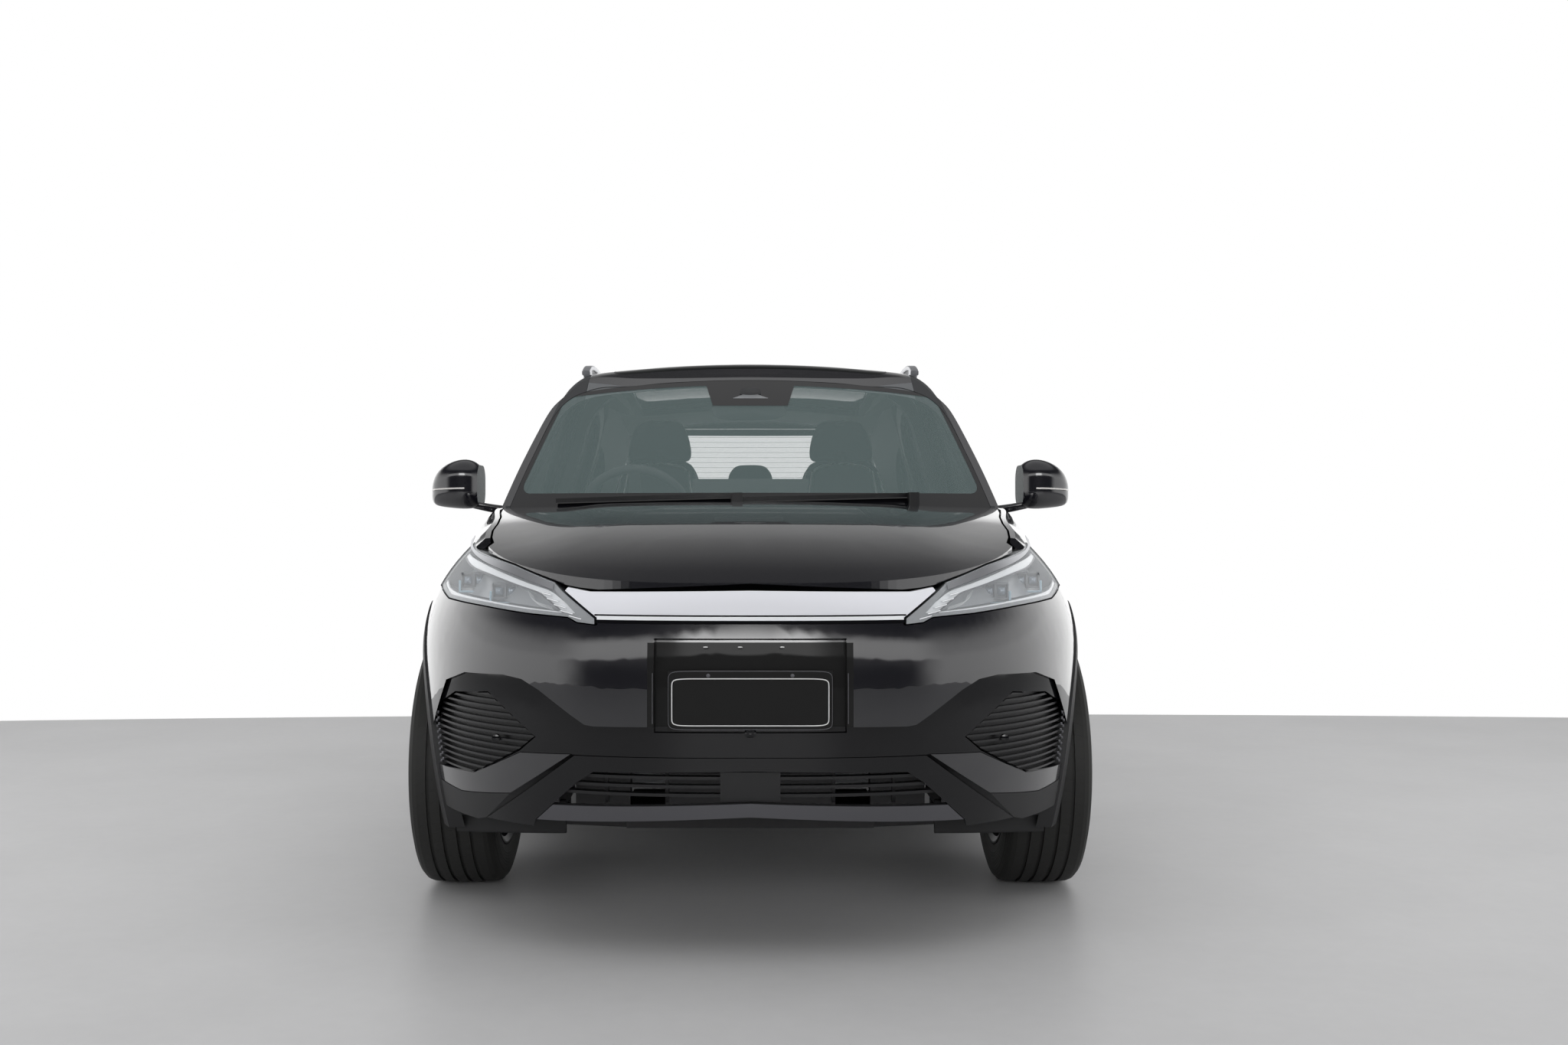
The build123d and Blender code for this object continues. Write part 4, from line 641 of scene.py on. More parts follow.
# camera, floor and light
cameraPlace = {"focal": 34.27734375, "back": -5.5825, "height": 1.007, "slide": 0.021484375}
cameraData = bpy.data.cameras.new("camera")
cameraData.lens = cameraPlace["focal"]
cameraData.shift_x = cameraPlace["slide"]
camera = bpy.data.objects.new("camera", cameraData)
camera.location = (0, cameraPlace["back"], cameraPlace["height"])
camera.rotation_euler = (math.pi / 2, 0, 0)
scene.collection.objects.link(camera)
scene.camera = camera
scene.view_settings.view_transform = "Standard"

floorSizes = {"reach": 14.0, "edge": 2.25, "tilt": math.radians(-1.2), "bow": 0.012}


# the floor is a grid whose far edge is a shallow arc, y = edge - tan(tilt) x - bow x squared
def makeFloor():
    f = floorSizes
    x = np.linspace(-f["reach"], f["reach"], 60)[:, None]
    t = np.linspace(0, 1, 24)[None]
    far = f["edge"] - math.tan(f["tilt"]) * x - f["bow"] * x**2
    y = far + (-f["reach"] - far) * t
    points = np.stack([np.broadcast_to(x, y.shape), y, np.zeros_like(y)], -1)
    addMesh("studioFloor", points, gridFaces(60, 24)[:, ::-1].tolist(), concreteFloor(), None)


makeFloor()

worldSizes = {"wall": 1.25, "shade": 0.04, "haze": 0.42, "aside": 0.6, "ceiling": 0.45, "panel": 6.5,
              "grey": 1.6, "dark": 0.03, "aheadY": (-0.62, -0.35), "aheadX": (0.62, 0.82),
              "wallTop": (0.22, 0.29), "asideX": (0.22, 0.50), "asideZ": (0.34, 0.56),
              "hazeZ": (0.26, 0.58), "ceilingZ": (0.62, 0.80), "panelX": (0.14, 0.26),
              "panelLow": (0.18, 0.215), "panelHigh": (0.36, 0.46)}


# the studio that rays meet: pale walls, dark ahead of the car under a bright panel, grey overhead;
# each pair is where a smooth step begins and ends, as a direction's x, y or z
def makeWorld():
    w = worldSizes
    world = bpy.data.worlds.new("studio")
    scene.world = world
    world.use_nodes = True
    made = Pattern(world.node_tree)
    x, y, z = made.place("Generated")

    def step(value, between):
        low, high = between
        limits = {"Value": value, "From Min": low, "From Max": high, "To Min": 0.0, "To Max": 1.0}
        return made.node("ShaderNodeMapRange", {"interpolation_type": "SMOOTHSTEP"}, limits)

    ahead = (1 - step(y, w["aheadY"])) * (1 - step(abs(x), w["aheadX"]))
    wall = (1 - step(z, w["wallTop"])) * w["wall"]
    aside = step(abs(x), w["asideX"]) * (1 - step(z, w["asideZ"])) * w["aside"]
    haze = (1 - step(z, w["hazeZ"])) * w["haze"]
    overhead = step(z, w["ceilingZ"]) * (w["ceiling"] - w["shade"]) + w["shade"] + aside + haze
    around = wall + step(z, w["wallTop"]) * overhead
    middle = 1 - step(abs(x), w["panelX"])
    lit = step(z, w["panelLow"]) * (1 - step(z, w["panelHigh"]))
    front = lit * (middle * (w["panel"] - w["grey"]) + w["grey"]) + (1 - lit) * w["dark"]
    front = front + step(z, w["ceilingZ"]) * w["ceiling"]
    light = ahead * front + (1 - ahead) * around
    rays = made.node("ShaderNodeLightPath", {}, {})
    lights = rays.socket.node.outputs
    seen = Value(made, lights["Is Camera Ray"]).atLeast(Value(made, lights["Is Transmission Ray"]))
    strength = seen + (1 - seen) * light
    background = made.tree.nodes["Background"]
    made.tree.links.new(strength.socket, background.inputs["Strength"])
    background.inputs["Color"].default_value = rgb(1.0, 1.0, 1.0)


makeWorld()


# large soft lamps for the matt surfaces, kept out of the reflections
def softLamp(name, place, aim, size, power):
    data = bpy.data.lights.new(name, "AREA")
    data.shape, data.size, data.size_y, data.energy = "RECTANGLE", size[0], size[1], power
    made = bpy.data.objects.new(name, data)
    made.location = place
    made.rotation_euler = Vector(np.subtract(aim, place)).to_track_quat("-Z", "Y").to_euler()
    made.visible_glossy = False
    scene.collection.objects.link(made)


softLamp("ceilingLamp", (0, -0.5, 5.0), (0, 0, 0), (7.0, 9.0), 220)
softLamp("leftLamp", (5.0, -2.5, 2.4), (0, -1, 0.6), (4.0, 3.0), 60)
softLamp("rightLamp", (-5.0, -2.5, 2.4), (0, -1, 0.6), (4.0, 3.0), 60)
print("camera, floor and light set")

# headlamps: silver rail, light guide with fins, pale cell with two projector modules, all behind the lens
lamp = {
    "rail": ([(465, 863), (581, 900), (723, 932), (796, 970)],
             [(465, 849), (580, 882), (700, 915), (800, 957)]),
    "guide": ([(798, 948), (757, 922), (678, 901), (606, 881), (537, 862), (475, 846), (440, 826),
               (404, 801), (368, 780)],
              [(803, 935), (727, 897), (650, 879), (568, 859), (504, 843), (485, 833), (455, 814),
               (428, 795), (402, 784)]),
    "cell": ([(800, 930), (727, 892), (640, 873), (568, 856), (486, 829)],
             [(828, 850), (777, 826), (655, 817), (531, 806), (420, 797)]),
    "rim": ([(822, 852), (770, 830), (655, 818), (531, 806), (425, 798)],
            [(836, 841), (777, 820), (655, 810), (531, 799), (415, 791)]),
    "modules": [(719, 857, 828), (604, 838, 809)], "moduleWidth": 62, "moduleHeight": 36, "moduleBack": 27,
    "lensSide": 20, "arc": [(540, 842), (520, 820), (470, 806)], "arcStep": [(7, 5), (6, 4), (2, 3)],
    "finsOuter": [(489, 840), (476, 828), (457, 815), (440, 802), (418, 791)],
    "finsInner": [(466, 836), (447, 822), (427, 808), (409, 795), (388, 784)],
}


def makeHeadlamps():
    build("headlampRails", [ribbonPart(noseY, *lamp["rail"], -0.6, 1.4)], satinSilver, "body", True)
    build("headlampGuides", [ribbonPart(noseY, *lamp["guide"], 8, 5, 48)], lampWhite, "body", True)
    under = np.array(lamp["guide"][1])
    build("headlampLines", [ribbonPart(noseY, under, under - (0, 4.5), 7, 4, 48)], darkSilver, "body", True)
    build("headlampCells", [ribbonPart(noseY, *lamp["cell"], 54, 3)], lampPale, "body", True)
    build("headlampRims", [ribbonPart(noseY, *lamp["rim"], 7, 5)], lampWhite, "body", True)
    frames, lenses, strips = [], [], []
    wide, tall, side = lamp["moduleWidth"], lamp["moduleHeight"], lamp["lensSide"]
    half = wide / 2
    sizes = [(wide, 16, 4)] * 2 + [(5, 16, tall)] + [(3, 16, tall)] * 2
    for x, z, low in lamp["modules"]:
        y = float(noseY(x + half, z)) + lamp["moduleBack"]
        bars = [(x, z + tall / 2), (x, z - tall / 2), (x, z), (x - half, z), (x + half, z)]
        frames.append(boxPart([(u, y + 8, v) for u, v in bars], sizes))
        frames.append(boxPart([(x, y + 20, z)], [(wide + 6, 8, tall + 6)]))
        lenses += [domePart((x + shift, y + 4, z), side, side, 5, 10) for shift in (-half / 2, half / 2)]
        path = [(x + half + 4, z), (x + half + 4, low + 3), (x + half, low), (x - half - 4, low - 1)]
        path = through([(u, y - 2, v) for u, v in path], 24)
        strips.append(barPart(path, squarish(6, 4, 4, 12), (0, -1, 0)))
    build("headlampModules", frames, lampHouse, "body", True, False)
    build("headlampProjectors", lenses, projectorGlass, "body", True)
    build("headlampStrips", strips, lampBlue, "body", True)
    arc, step = np.array(lamp["arc"]), np.array(lamp["arcStep"])
    arcs = [linePart(noseY, arc - k * step, 44, circle(0.9)) for k in range(3)]
    build("headlampArcs", arcs, lampWhite, "body", True)
    fins = []
    for outer, inner in zip(np.array(lamp["finsOuter"], float), np.array(lamp["finsInner"], float)):
        fins.append(linePart(noseY, [outer, (outer + inner) / 2, inner], 5, squarish(3.2, 8, 4, 12), 6))
    build("headlampFins", fins, bright, "body", True)
    print("headlamps made")


makeHeadlamps()

# nose: strip under the silver bar, pale as a painted highlight of the bar's lower edge, dark lines above
# and below, plate with its line, bolt heads white as painted highlights, camera
nose = {"stripHalf": 352,
        "strips": [((784.5, 793.0), 0, -0.2, 1.4), ((793.0, 796.5), 6, -0.1, 1.2),
                   ((777.0, 784.5), 2, -0.1, 1.2)],
        "plateLine": (177.0, 549.0, 655.0), "plateEdge": (185.0, 540.0, 672.0), "screws": 95.0,
        "screwZ": 662.0, "boltHighlights": (-101.0, -23.0, 72.0), "boltHighlightZ": 726.0, "edgeX": 221.0,
        "edgeZ": (553.0, 667.0), "cameraZ": 531, "cameraSize": (26, 15)}


# a closed frame line round a rectangle with rounded corners
def frameLine(half, low, high, y, profile):
    outline = squarish(half * 2, high - low, 14.0, 120)
    path = np.stack([outline[:, 0], np.full(len(outline), y), outline[:, 1] + (low + high) / 2], -1)
    ring = np.concatenate([path, path[:2]])
    points = carry(ring, profile, (0, -1, 0))[1:-1]
    return points.reshape(-1, 3), gridFaces(len(points), points.shape[1], True, True).tolist()


# a level strip on a surface, from its places across and its lower and upper height
def levelPart(surface, places, band, inset, deep, count):
    lower, upper = ([(x, z) for x in places] for z in band)
    return ribbonPart(surface, upper, lower, inset, deep, count, 3)


def makeNose():
    strips = []
    for band, more, inset, deep in nose["strips"]:
        reach = nose["stripHalf"] + more
        strips.append(levelPart(noseY, np.linspace(-reach, reach, 5), band, inset, deep, 40))
    # the first strip is a painted highlight: pale colour along the bar's lower edge, where it catches the
    # light
    build("noseEdgeHighlight", strips[:1], lampWhite, "body")
    build("noseLines", strips[1:], gloss, "body")
    y = float(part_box("number_plate_front")[0][1]) / mm
    line = frameLine(*nose["plateLine"], y - 0.3, squarish(2.2, 1.0, 4, 8))
    build("plateLineFront", [line], plateLine, "body")
    line = frameLine(*nose["plateEdge"], y + 0.2, squarish(1.4, 1.6, 4, 8))
    build("plateEdgeFront", [line], darkSilver, "body")
    screws = [domePart((side * nose["screws"], y - 0.2, nose["screwZ"]), 9, 9, 1.4, 1.5, 2.0)
              for side in (-1, 1)]
    build("plateScrews", screws, darkSilver, "body")
    # small bolt heads on the bumper, coloured pale white as painted highlights of the bolts
    boltHighlights = [domePart((x, float(noseY(x, nose["boltHighlightZ"])) - 0.4, nose["boltHighlightZ"]), 10, 2.6, 0.6, 1.2, 3.0)
             for x in nose["boltHighlights"]]
    build("noseBoltHighlights", boltHighlights, plateLine, "body")
    edge = linePart(noseY, [(nose["edgeX"], z) for z in nose["edgeZ"]], -0.2, squarish(1.8, 1.2, 4, 8), 10)
    build("plateBayEdges", [edge], darkSilver, "body", True)
    z = nose["cameraZ"]
    eye = domePart((0, float(noseY(0, z)) - 1.0, z), *nose["cameraSize"], 5, 6, 3.0)
    build("noseCamera", [eye], gloss, "body")
    print("nose made")


makeNose()

# bumper corners: parking sensors, perforations at the outer edge, air deflectors below
corner = {"sensor": (601, 497), "sensorSize": 19, "holesX": (803, 781), "holesZ": (548, 405), "holes": 11,
          "holeSize": (5.5, 7), "deflector": ((470, 752), (-1768, -1750), (214, 300)), "sweep": 25}


def makeCorners():
    x, z = corner["sensor"]
    size = corner["sensorSize"]
    sensor = domePart((x, float(noseY(x, z, 4)), z), size, size, 1.5, 14, 2.0)
    build("parkingSensors", [sensor], gloss, "body", True)
    across = np.linspace(0, 1, corner["holes"])
    (x0, x1), (z0, z1) = corner["holesX"], corner["holesZ"]
    holes = []
    for shift, shares in ((0, across), (-9, across[:-1] + 0.5 / corner["holes"])):
        for t in shares:
            x, z = x0 + (x1 - x0) * t + shift, z0 + (z1 - z0) * t
            holes.append(domePart((x, float(noseY(x, z, 5)), z), *corner["holeSize"], 0.8, 3, 4.0))
    build("cornerPerforations", holes, darkSilver, "body", True)
    (xa, xb), (ya, yb), (za, zb) = corner["deflector"]
    t = np.linspace(0, 1, 12)
    path = np.stack([xa + (xb - xa) * t, ya + corner["sweep"] * t**2, np.full(12, (za + zb) / 2)], -1)
    deflector = barPart(path, squarish(yb - ya, zb - za, 8, 20), (0, 0, 1))
    build("airDeflectors", [deflector], mattBlack, "body", True)
    print("corners made")


makeCorners()

# door mirrors: indicator strip round the shell, glass in its opening
sideMirror = {"strip": [(909, -837, 1116), (955, -836, 1115), (1000, -817, 1113), (1020, -789, 1111)],
              "glass": (946, -691, 1131), "glassSize": (112, 104)}


def makeSideMirrors():
    strip = barPart(through(sideMirror["strip"], 24), squarish(4, 5, 4, 12), (0, 0, 1))
    glass = domePart(sideMirror["glass"], *sideMirror["glassSize"], 2.5, 2.0, 4.0, (0, 1, 0))
    for side in sides:
        build(f"mirrorIndicator_{side}", [onSide(strip, side)], amber, f"front_door_{side}")
        build(f"mirrorGlass_{side}", [onSide(glass, side)], mirrorGlass, f"front_door_{side}")
    print("door mirrors made")


makeSideMirrors()

# inside the windscreen: mirror on its stem, camera cover on the printed field
insideMirror = {"centre": (-6, -352, 1400), "size": (256, 70), "depth": 34, "glassSize": (240, 58),
                "base": (0, -330, 1458), "baseSize": (74, 44),
                "cover": ([(-60, 1443), (0, 1463), (62, 1443)], [(-60, 1441), (0, 1441), (62, 1441)])}


def makeInsideMirror():
    x, y, z = insideMirror["centre"]
    front, behind = insideMirror["depth"] * 0.6, insideMirror["depth"] * 0.4
    shell = domePart((x, y, z), *insideMirror["size"], front, behind, 3.4)
    stem = [(x, y + 10, z + 24), (x, y + 18, z + 44), (0, y + 30, z + 62)]
    stem = barPart(stem, circle(9, 12), (1, 0, 0))
    base = domePart(insideMirror["base"], *insideMirror["baseSize"], 8, 10, 3.0)
    build("insideMirror", [shell, stem, base], cabinTrim, "body")
    glass = domePart((x, y + behind, z), *insideMirror["glassSize"], 1.0, 1.5, 3.4, (0, 1, 0))
    build("insideMirrorGlass", [glass], mirrorGlass, "body")
    build("cameraCover", [ribbonPart(screenY, *insideMirror["cover"], -0.8, 0.9, 21, 4)], lampHouse, "body")
    print("inside mirror made")


makeInsideMirror()

# seats: start forms a little smaller than their space, swollen as cloth, then seams and piping
seats = {"rise": 85.0, "frontX": 384.0, "cap": 26.0, "pressure": 4.0, "frames": 20, "voxel": 7.0,
         "cord": 3.6, "plinth": (396, 376, 128),
         "cushion": {"half": 236, "y": (-128, 312), "low": 432, "front": 528, "rear": 498, "side": 34},
         "cushionSeams": (165, 60, 200),
         "back": {"low": 505, "lean": 0.404, "foot": (372, 452), "thick": (86, 62),
                  "width": [200, 226, 232, 226, 205, 158], "side": 34},
         "shield": [118, 140, 150, 150, 140, 118], "backSeams": (150, 760, 900),
         "headWidth": [132, 136, 128, 114, 86], "arch": (118, 60, 34)}
bench = {"voxel": 10.0,
         "cushion": {"half": 530, "y": (580, 1012), "low": 412, "front": 518, "rear": 492, "side": 6},
         "cushionSeams": (180, 440, 700),
         "back": {"low": 515, "lean": 0.372, "foot": (1062, 1128), "thick": (66, 66),
                  "width": [522, 530, 530, 528, 515], "side": 6},
         "backSeams": (180, 430, 880), "headX": 360, "headWidth": [88, 104, 106, 96, 70],
         "base": (1070, 340, 108)}


# how far an evenly spaced row has come from either end, as a quarter circle that rounds the ends off
def endRound(count, share):
    t = np.linspace(0, 1, count)
    near = np.clip(np.minimum(t, 1 - t) / share, 0, 1)
    return (np.sqrt(1 - (1 - near) ** 2) * 0.30 + 0.70)[:, None]


# a closed form from sections (rows, ring, 3), capped flat at both ends
def ringsPart(sections):
    rows, ring = sections.shape[:2]
    return sections.reshape(-1, 3), barFaces(rows, ring)


# cosine and sine round a section, in a row
def around(count):
    a = np.linspace(0, 2 * np.pi, count, endpoint=False)[None]
    return np.cos(a), np.sin(a)


# cushion: sections across the seat from front to rear, with raised sides
def cushionPart(half, y, low, front, rear, side, rows=30, ring=48):
    y = np.linspace(*y, rows)[:, None]
    t = np.linspace(0, 1, rows)[:, None]
    size = endRound(rows, 0.16)
    c, s = around(ring)
    x = half * size * np.sign(c) * np.abs(c) ** 0.45
    top = front + (rear - front) * t
    middle, tall = (top + low) / 2, (top - low) / 2 * size
    z = middle + tall * np.sign(s) * np.abs(s) ** 0.5
    z = z + side * np.abs(x / half) ** 4 * (s > 0) * (0.35 + 0.65 * np.sin(np.pi * t))
    return ringsPart(np.stack([x, np.broadcast_to(y, x.shape), z], -1))


# back: sections from foot to top, leaning, shield-shaped from the front, its sides coming forward
def backPart(low, top, foot, lean, thick, width, side, rows=40, ring=48, power=0.5):
    z = np.linspace(low, top, rows)[:, None]
    t = np.linspace(0, 1, rows)[:, None]
    size = endRound(rows, 0.12)
    c, s = around(ring)
    half = np.interp(t, np.linspace(0, 1, len(width)), width) * size
    x = half * np.sign(c) * np.abs(c) ** power
    deep = (thick[0] + (thick[1] - thick[0]) * t) / 2 * size
    y = sum(foot) / 2 + lean * (z - low) + deep * np.sign(s) * np.abs(s) ** 0.6
    y = y - side * np.abs(x / np.maximum(half, 1)) ** 3 * (s < 0) * np.sin(np.pi * np.clip(t * 1.1, 0, 1))
    return ringsPart(np.stack([x, y, np.broadcast_to(z, x.shape)], -1))


# a mesh's vertex places, or normals, as an array (n, 3) in metres, and its places back again
def readPoints(mesh, what="co"):
    values = np.empty(len(mesh.vertices) * 3)
    mesh.vertices.foreach_get(what, values)
    return values.reshape(-1, 3)


def writePoints(mesh, points):
    mesh.vertices.foreach_set("co", points.ravel())
    mesh.update()


# the mesh with its live modifiers worked in
def evaluated(made):
    return bpy.data.meshes.new_from_object(made.evaluated_get(bpy.context.evaluated_depsgraph_get()))


# swells a closed form as cloth under pressure, each point moving no further than the cap
def swell(name, part, voxel, cap):
    made = build(name, [part], leather, None, False, True, 180)
    remesh = made.modifiers.new("remesh", "REMESH")
    remesh.mode, remesh.voxel_size, remesh.use_smooth_shade = "VOXEL", voxel * mm, True
    made.data = evaluated(made)
    made.modifiers.clear()
    before = readPoints(made.data)
    cloth = made.modifiers.new("cloth", "CLOTH")
    cloth.settings.quality = 4
    cloth.settings.use_pressure = True
    cloth.settings.uniform_pressure_force = seats["pressure"]
    cloth.settings.tension_stiffness = cloth.settings.compression_stiffness = 25
    cloth.settings.effector_weights.gravity = 0.0
    cloth.collision_settings.use_collision = False
    cloth.point_cache.frame_start, cloth.point_cache.frame_end = 1, seats["frames"]
    for frameNumber in range(1, seats["frames"] + 1):
        scene.frame_set(frameNumber)
    step = readPoints(evaluated(made)) - before
    made.modifiers.clear()
    scene.frame_set(1)
    reach = np.linalg.norm(step, axis=1, keepdims=True)
    step *= np.minimum(1, cap * mm / np.maximum(reach, 1e-9))
    writePoints(made.data, before + step)
    made.data.materials.clear()
    made.data.materials.append(leather.material)
    return made


# points' distance from a seam across the seat (0), along it (1) or up it (2), within a reach of its middle
def seam(axis, at, reach=1e4):
    def away(points):
        across = np.abs(points[:, 0])
        far = (across if axis == 0 else points[:, axis]) - at
        return np.where(across < reach, far, 99)
    return away


# presses narrow grooves into a swollen form: their depth falls off with the distance from each seam
def sew(made, lines, depth, width, away):
    points, normals = readPoints(made.data), readPoints(made.data, "normal")
    facing = np.clip(normals @ np.asarray(away, float), 0, 1)
    groove = np.zeros(len(points))
    for line in lines:
        groove = np.maximum(groove, np.exp(-((line(points / mm) / width) ** 2)))
    writePoints(made.data, points - normals * (groove * facing * depth * mm)[:, None])


def finishPad(made):
    smooth = made.modifiers.new("smooth", "SUBSURF")
    smooth.levels = smooth.render_levels = 1
    made.data.polygons.foreach_set("use_smooth", np.ones(len(made.data.polygons), bool))
    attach(made, "body")


def moveAcross(mesh, x):
    writePoints(mesh, readPoints(mesh) + np.array([x, 0, 0]) * mm)


# the same mesh moved across, as a new piece
def copied(made, name, x):
    other = bpy.data.objects.new(name, made.data.copy())
    moveAcross(other.data, x)
    scene.collection.objects.link(other)
    return other


# a cord laid on a seat back, where straight lines from ahead at x and z first meet it
def cordPart(made, xs, zs):
    mesh = made.data
    tree = BVHTree.FromPolygons([v.co for v in mesh.vertices], [p.vertices for p in mesh.polygons])
    found = []
    for x, z in zip(xs, zs):
        hit = tree.ray_cast(Vector((x, -2500, z)) * mm, Vector((0, 1, 0)))[0]
        if hit is not None:
            found.append(np.array(hit) / mm)
    return barPart(np.array(found) + (0, -1.5, 0), circle(seats["cord"]), (1, 0, 0))


def makeSeats():
    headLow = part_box("front_seats")[1][2] / mm - 210 + seats["rise"]
    top = headLow + 34
    frontX, back = seats["frontX"], seats["back"]
    low = back["low"]
    cushion = swell("frontCushionRight", cushionPart(**seats["cushion"]), seats["voxel"], seats["cap"])
    half, first, second = seats["cushionSeams"]
    sew(cushion, [seam(0, half), seam(1, first, half), seam(1, second, half)], 7, 9, (0, 0, 1))
    rest = swell("frontBackRight", backPart(top=top, **back), seats["voxel"], seats["cap"] - 4)

    def shieldHalf(z):
        return np.interp(np.clip((z - low) / (top - low), 0, 1), np.linspace(0, 1, 6), seats["shield"])

    def shieldLine(points):
        return np.abs(points[:, 0]) - shieldHalf(points[:, 2])

    half, first, second = seats["backSeams"]
    sew(rest, [shieldLine, seam(2, first, half), seam(2, second, half)], 7, 9, (0, -1, 0))
    foot = back["foot"][0] + 60 + back["lean"] * (headLow - low)
    head = backPart(headLow + 14, headLow + 198, (foot, foot + 34), 0.22, (62, 58), seats["headWidth"], 4,
                    24, 36, 0.6)
    head = swell("frontHeadRight", head, seats["voxel"], 16)
    for piece, name in ((cushion, "frontCushion"), (rest, "frontBack"), (head, "frontHead")):
        left = copied(piece, name + "Left", frontX)
        moveAcross(piece.data, -frontX)
        finishPad(piece)
        finishPad(left)
    lines = []
    wide, below, tall = seats["arch"]
    arch = np.linspace(0, np.pi, 20)
    z = np.linspace(low + 40, top - below, 30)
    for centre, pad in ((-frontX, rest), (frontX, bpy.data.objects["frontBackLeft"])):
        body = readPoints(pad.data) / mm
        outer = np.array([np.abs(body[np.abs(body[:, 2] - k) < 9, 0] - centre).max() for k in z]) - 12
        for side in (-1, 1):
            lines.append(cordPart(pad, centre + side * shieldHalf(z), z))
            lines.append(cordPart(pad, (centre + side * outer)[2:], z[2:]))
        lines.append(cordPart(pad, centre + wide * np.cos(arch), top - below + tall * np.sin(arch)))
    build("frontPiping", lines, piping, "body")
    posts = [barPart([(x, foot + 22, headLow - 24), (x, foot + 26, headLow + 40)], circle(6, 12), (1, 0, 0))
             for centre in (-frontX, frontX) for x in (centre - 60, centre + 60)]
    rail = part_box("front_seats")[0][2] / mm
    plinths = [boxPart([(centre, 130, rail + 66)], [seats["plinth"]]) for centre in (-frontX, frontX)]
    build("frontSeatBases", plinths + posts, cabinTrim, "body", False, False)
    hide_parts("front_seats")
    print("front seats made")


makeSeats()


def makeBench():
    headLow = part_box("rear_seats")[1][2] / mm - 170
    back = bench["back"]
    cushion = cushionPart(**bench["cushion"], rows=30, ring=72)
    cushion = swell("rearCushion", cushion, bench["voxel"], seats["cap"])
    inner, outer, across = bench["cushionSeams"]
    sew(cushion, [seam(0, inner), seam(0, outer), seam(1, across)], 8, 11, (0, 0, 1))
    rest = backPart(top=headLow - 6, **back, rows=36, ring=96, power=0.3)
    rest = swell("rearBack", rest, bench["voxel"], seats["cap"] - 4)
    inner, outer, across = bench["backSeams"]
    sew(rest, [seam(0, inner), seam(0, outer), seam(2, across)], 8, 11, (0, -1, 0))
    finishPad(cushion)
    finishPad(rest)
    y = 1090 + back["lean"] * (headLow - back["low"])
    head = backPart(headLow + 10, headLow + 162, (y - 14, y + 20), 0.2, (52, 46), bench["headWidth"], 2,
                    24, 36, 0.6)
    head = swell("rearHeadMiddle", head, seats["voxel"], 12)
    headX = bench["headX"]
    for name, x in (("rearHeadLeft", headX), ("rearHeadRight", -headX)):
        finishPad(copied(head, name, x))
    finishPad(head)
    posts = [barPart([(x + s, y + 2, headLow - 20), (x + s, y + 5, headLow + 34)], circle(5, 12), (1, 0, 0))
             for x in (-headX, 0, headX) for s in (-40, 40)]
    base = boxPart([(0, 812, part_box("rear_seats")[0][2] / mm + 56)], [bench["base"]])
    build("rearSeatBase", [base] + posts, cabinTrim, "body", False, False)
    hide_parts("rear_seats")
    print("rear seats made")


makeBench()

# cabin: screens, vents, wheel pad, gear lever, cup rings
cabin = {"screen": (0, -667, 1040, 366, 206), "dials": (-384, -669, 1010, 150, 52),
         "vent": (610, -676, 900), "ventSize": 44,
         "strip": [(-690, 972), (-200, 978), (0, 980), (200, 978), (690, 972)],
         "stripY": -697, "pad": (150, 116), "padLean": 66,
         "lever": [(-420, 560, 30), (-424, 600, 24), (-430, 632, 36)],
         "cups": ((-42, -330), (42, -330)), "cupSize": 38, "cupTop": 562.0}


# a thin ring round a centre, square to the axis with that number
def ringPart(centre, radius, thick, axis):
    a = np.linspace(0, 2 * np.pi, 48)
    path = np.insert(radius * np.stack([np.cos(a), np.sin(a)], -1), axis, 0, axis=1)
    return barPart(np.asarray(centre, float) + path, circle(thick), np.eye(3)[axis])


def makeCabin():
    for name, place, depth, power in (("centreScreen", "screen", 2, 14), ("dialScreen", "dials", 4, 8)):
        x, y, z, wide, tall = cabin[place]
        build(name, [domePart((x, y, z), wide, tall, 0.5, depth, power, (0, 1, 0))], screenGlass, "body")
    x, y, z = cabin["vent"]
    reach = cabin["ventSize"]
    vents = []
    for turn in np.linspace(0, np.pi, 5)[:-1]:
        spoke = (reach - 4) * np.array([math.cos(turn), 0, math.sin(turn)])
        middle = np.array([x, y, z])
        vents.append(barPart([middle - spoke, middle, middle + spoke], circle(2.5), (0, 1, 0)))
    vents.append(domePart((x, y - 4, z), 24, 24, 6, 6, 2.0, (0, 1, 0)))
    vents.append(ringPart((x, y - 2, z), reach, 4, 1))
    build("dashVents", vents, satinSilver, "body", True)
    path = through([(x, cabin["stripY"], z) for x, z in cabin["strip"]], 40)
    build("dashStrip", [barPart(path, squarish(4, 8, 4, 10), (0, 1, 0))], satinSilver, "body")
    low, high = (np.array(v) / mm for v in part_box("steering_wheel"))
    lean = math.radians(cabin["padLean"])
    away = np.array([0, math.sin(lean), math.cos(lean)])
    up = np.array([0, -math.cos(lean), math.sin(lean)])
    rings = np.linspace(0, 1, 6)[:, None, None]
    rise = np.concatenate([26 + 14 * (1 - rings**2), 0 * rings])
    flat = squarish(*cabin["pad"], 4, 40)[None] * np.concatenate([rings, rings[::-1]])
    grid = (low + high) / 2 + flat[..., :1] * np.array([1.0, 0, 0]) + flat[..., 1:] * up + rise * away
    pad = (grid.reshape(-1, 3), gridFaces(12, 40, False, True).tolist())
    build("steeringPad", [pad], cabinTrim, "steering_wheel")
    profile = np.array([squarish(size, size * 1.2, 3, 20) for y, z, size in cabin["lever"]])
    lever = barPart([(0, y, z) for y, z, size in cabin["lever"]], profile, (0, 1, 0))
    build("gearLever", [lever], satinSilver, "body")
    cups = [ringPart((x, y, cabin["cupTop"]), cabin["cupSize"], 2.5, 2) for x, y in cabin["cups"]]
    build("cupRings", cups, satinSilver, "body")
    print("cabin made")


makeCabin()

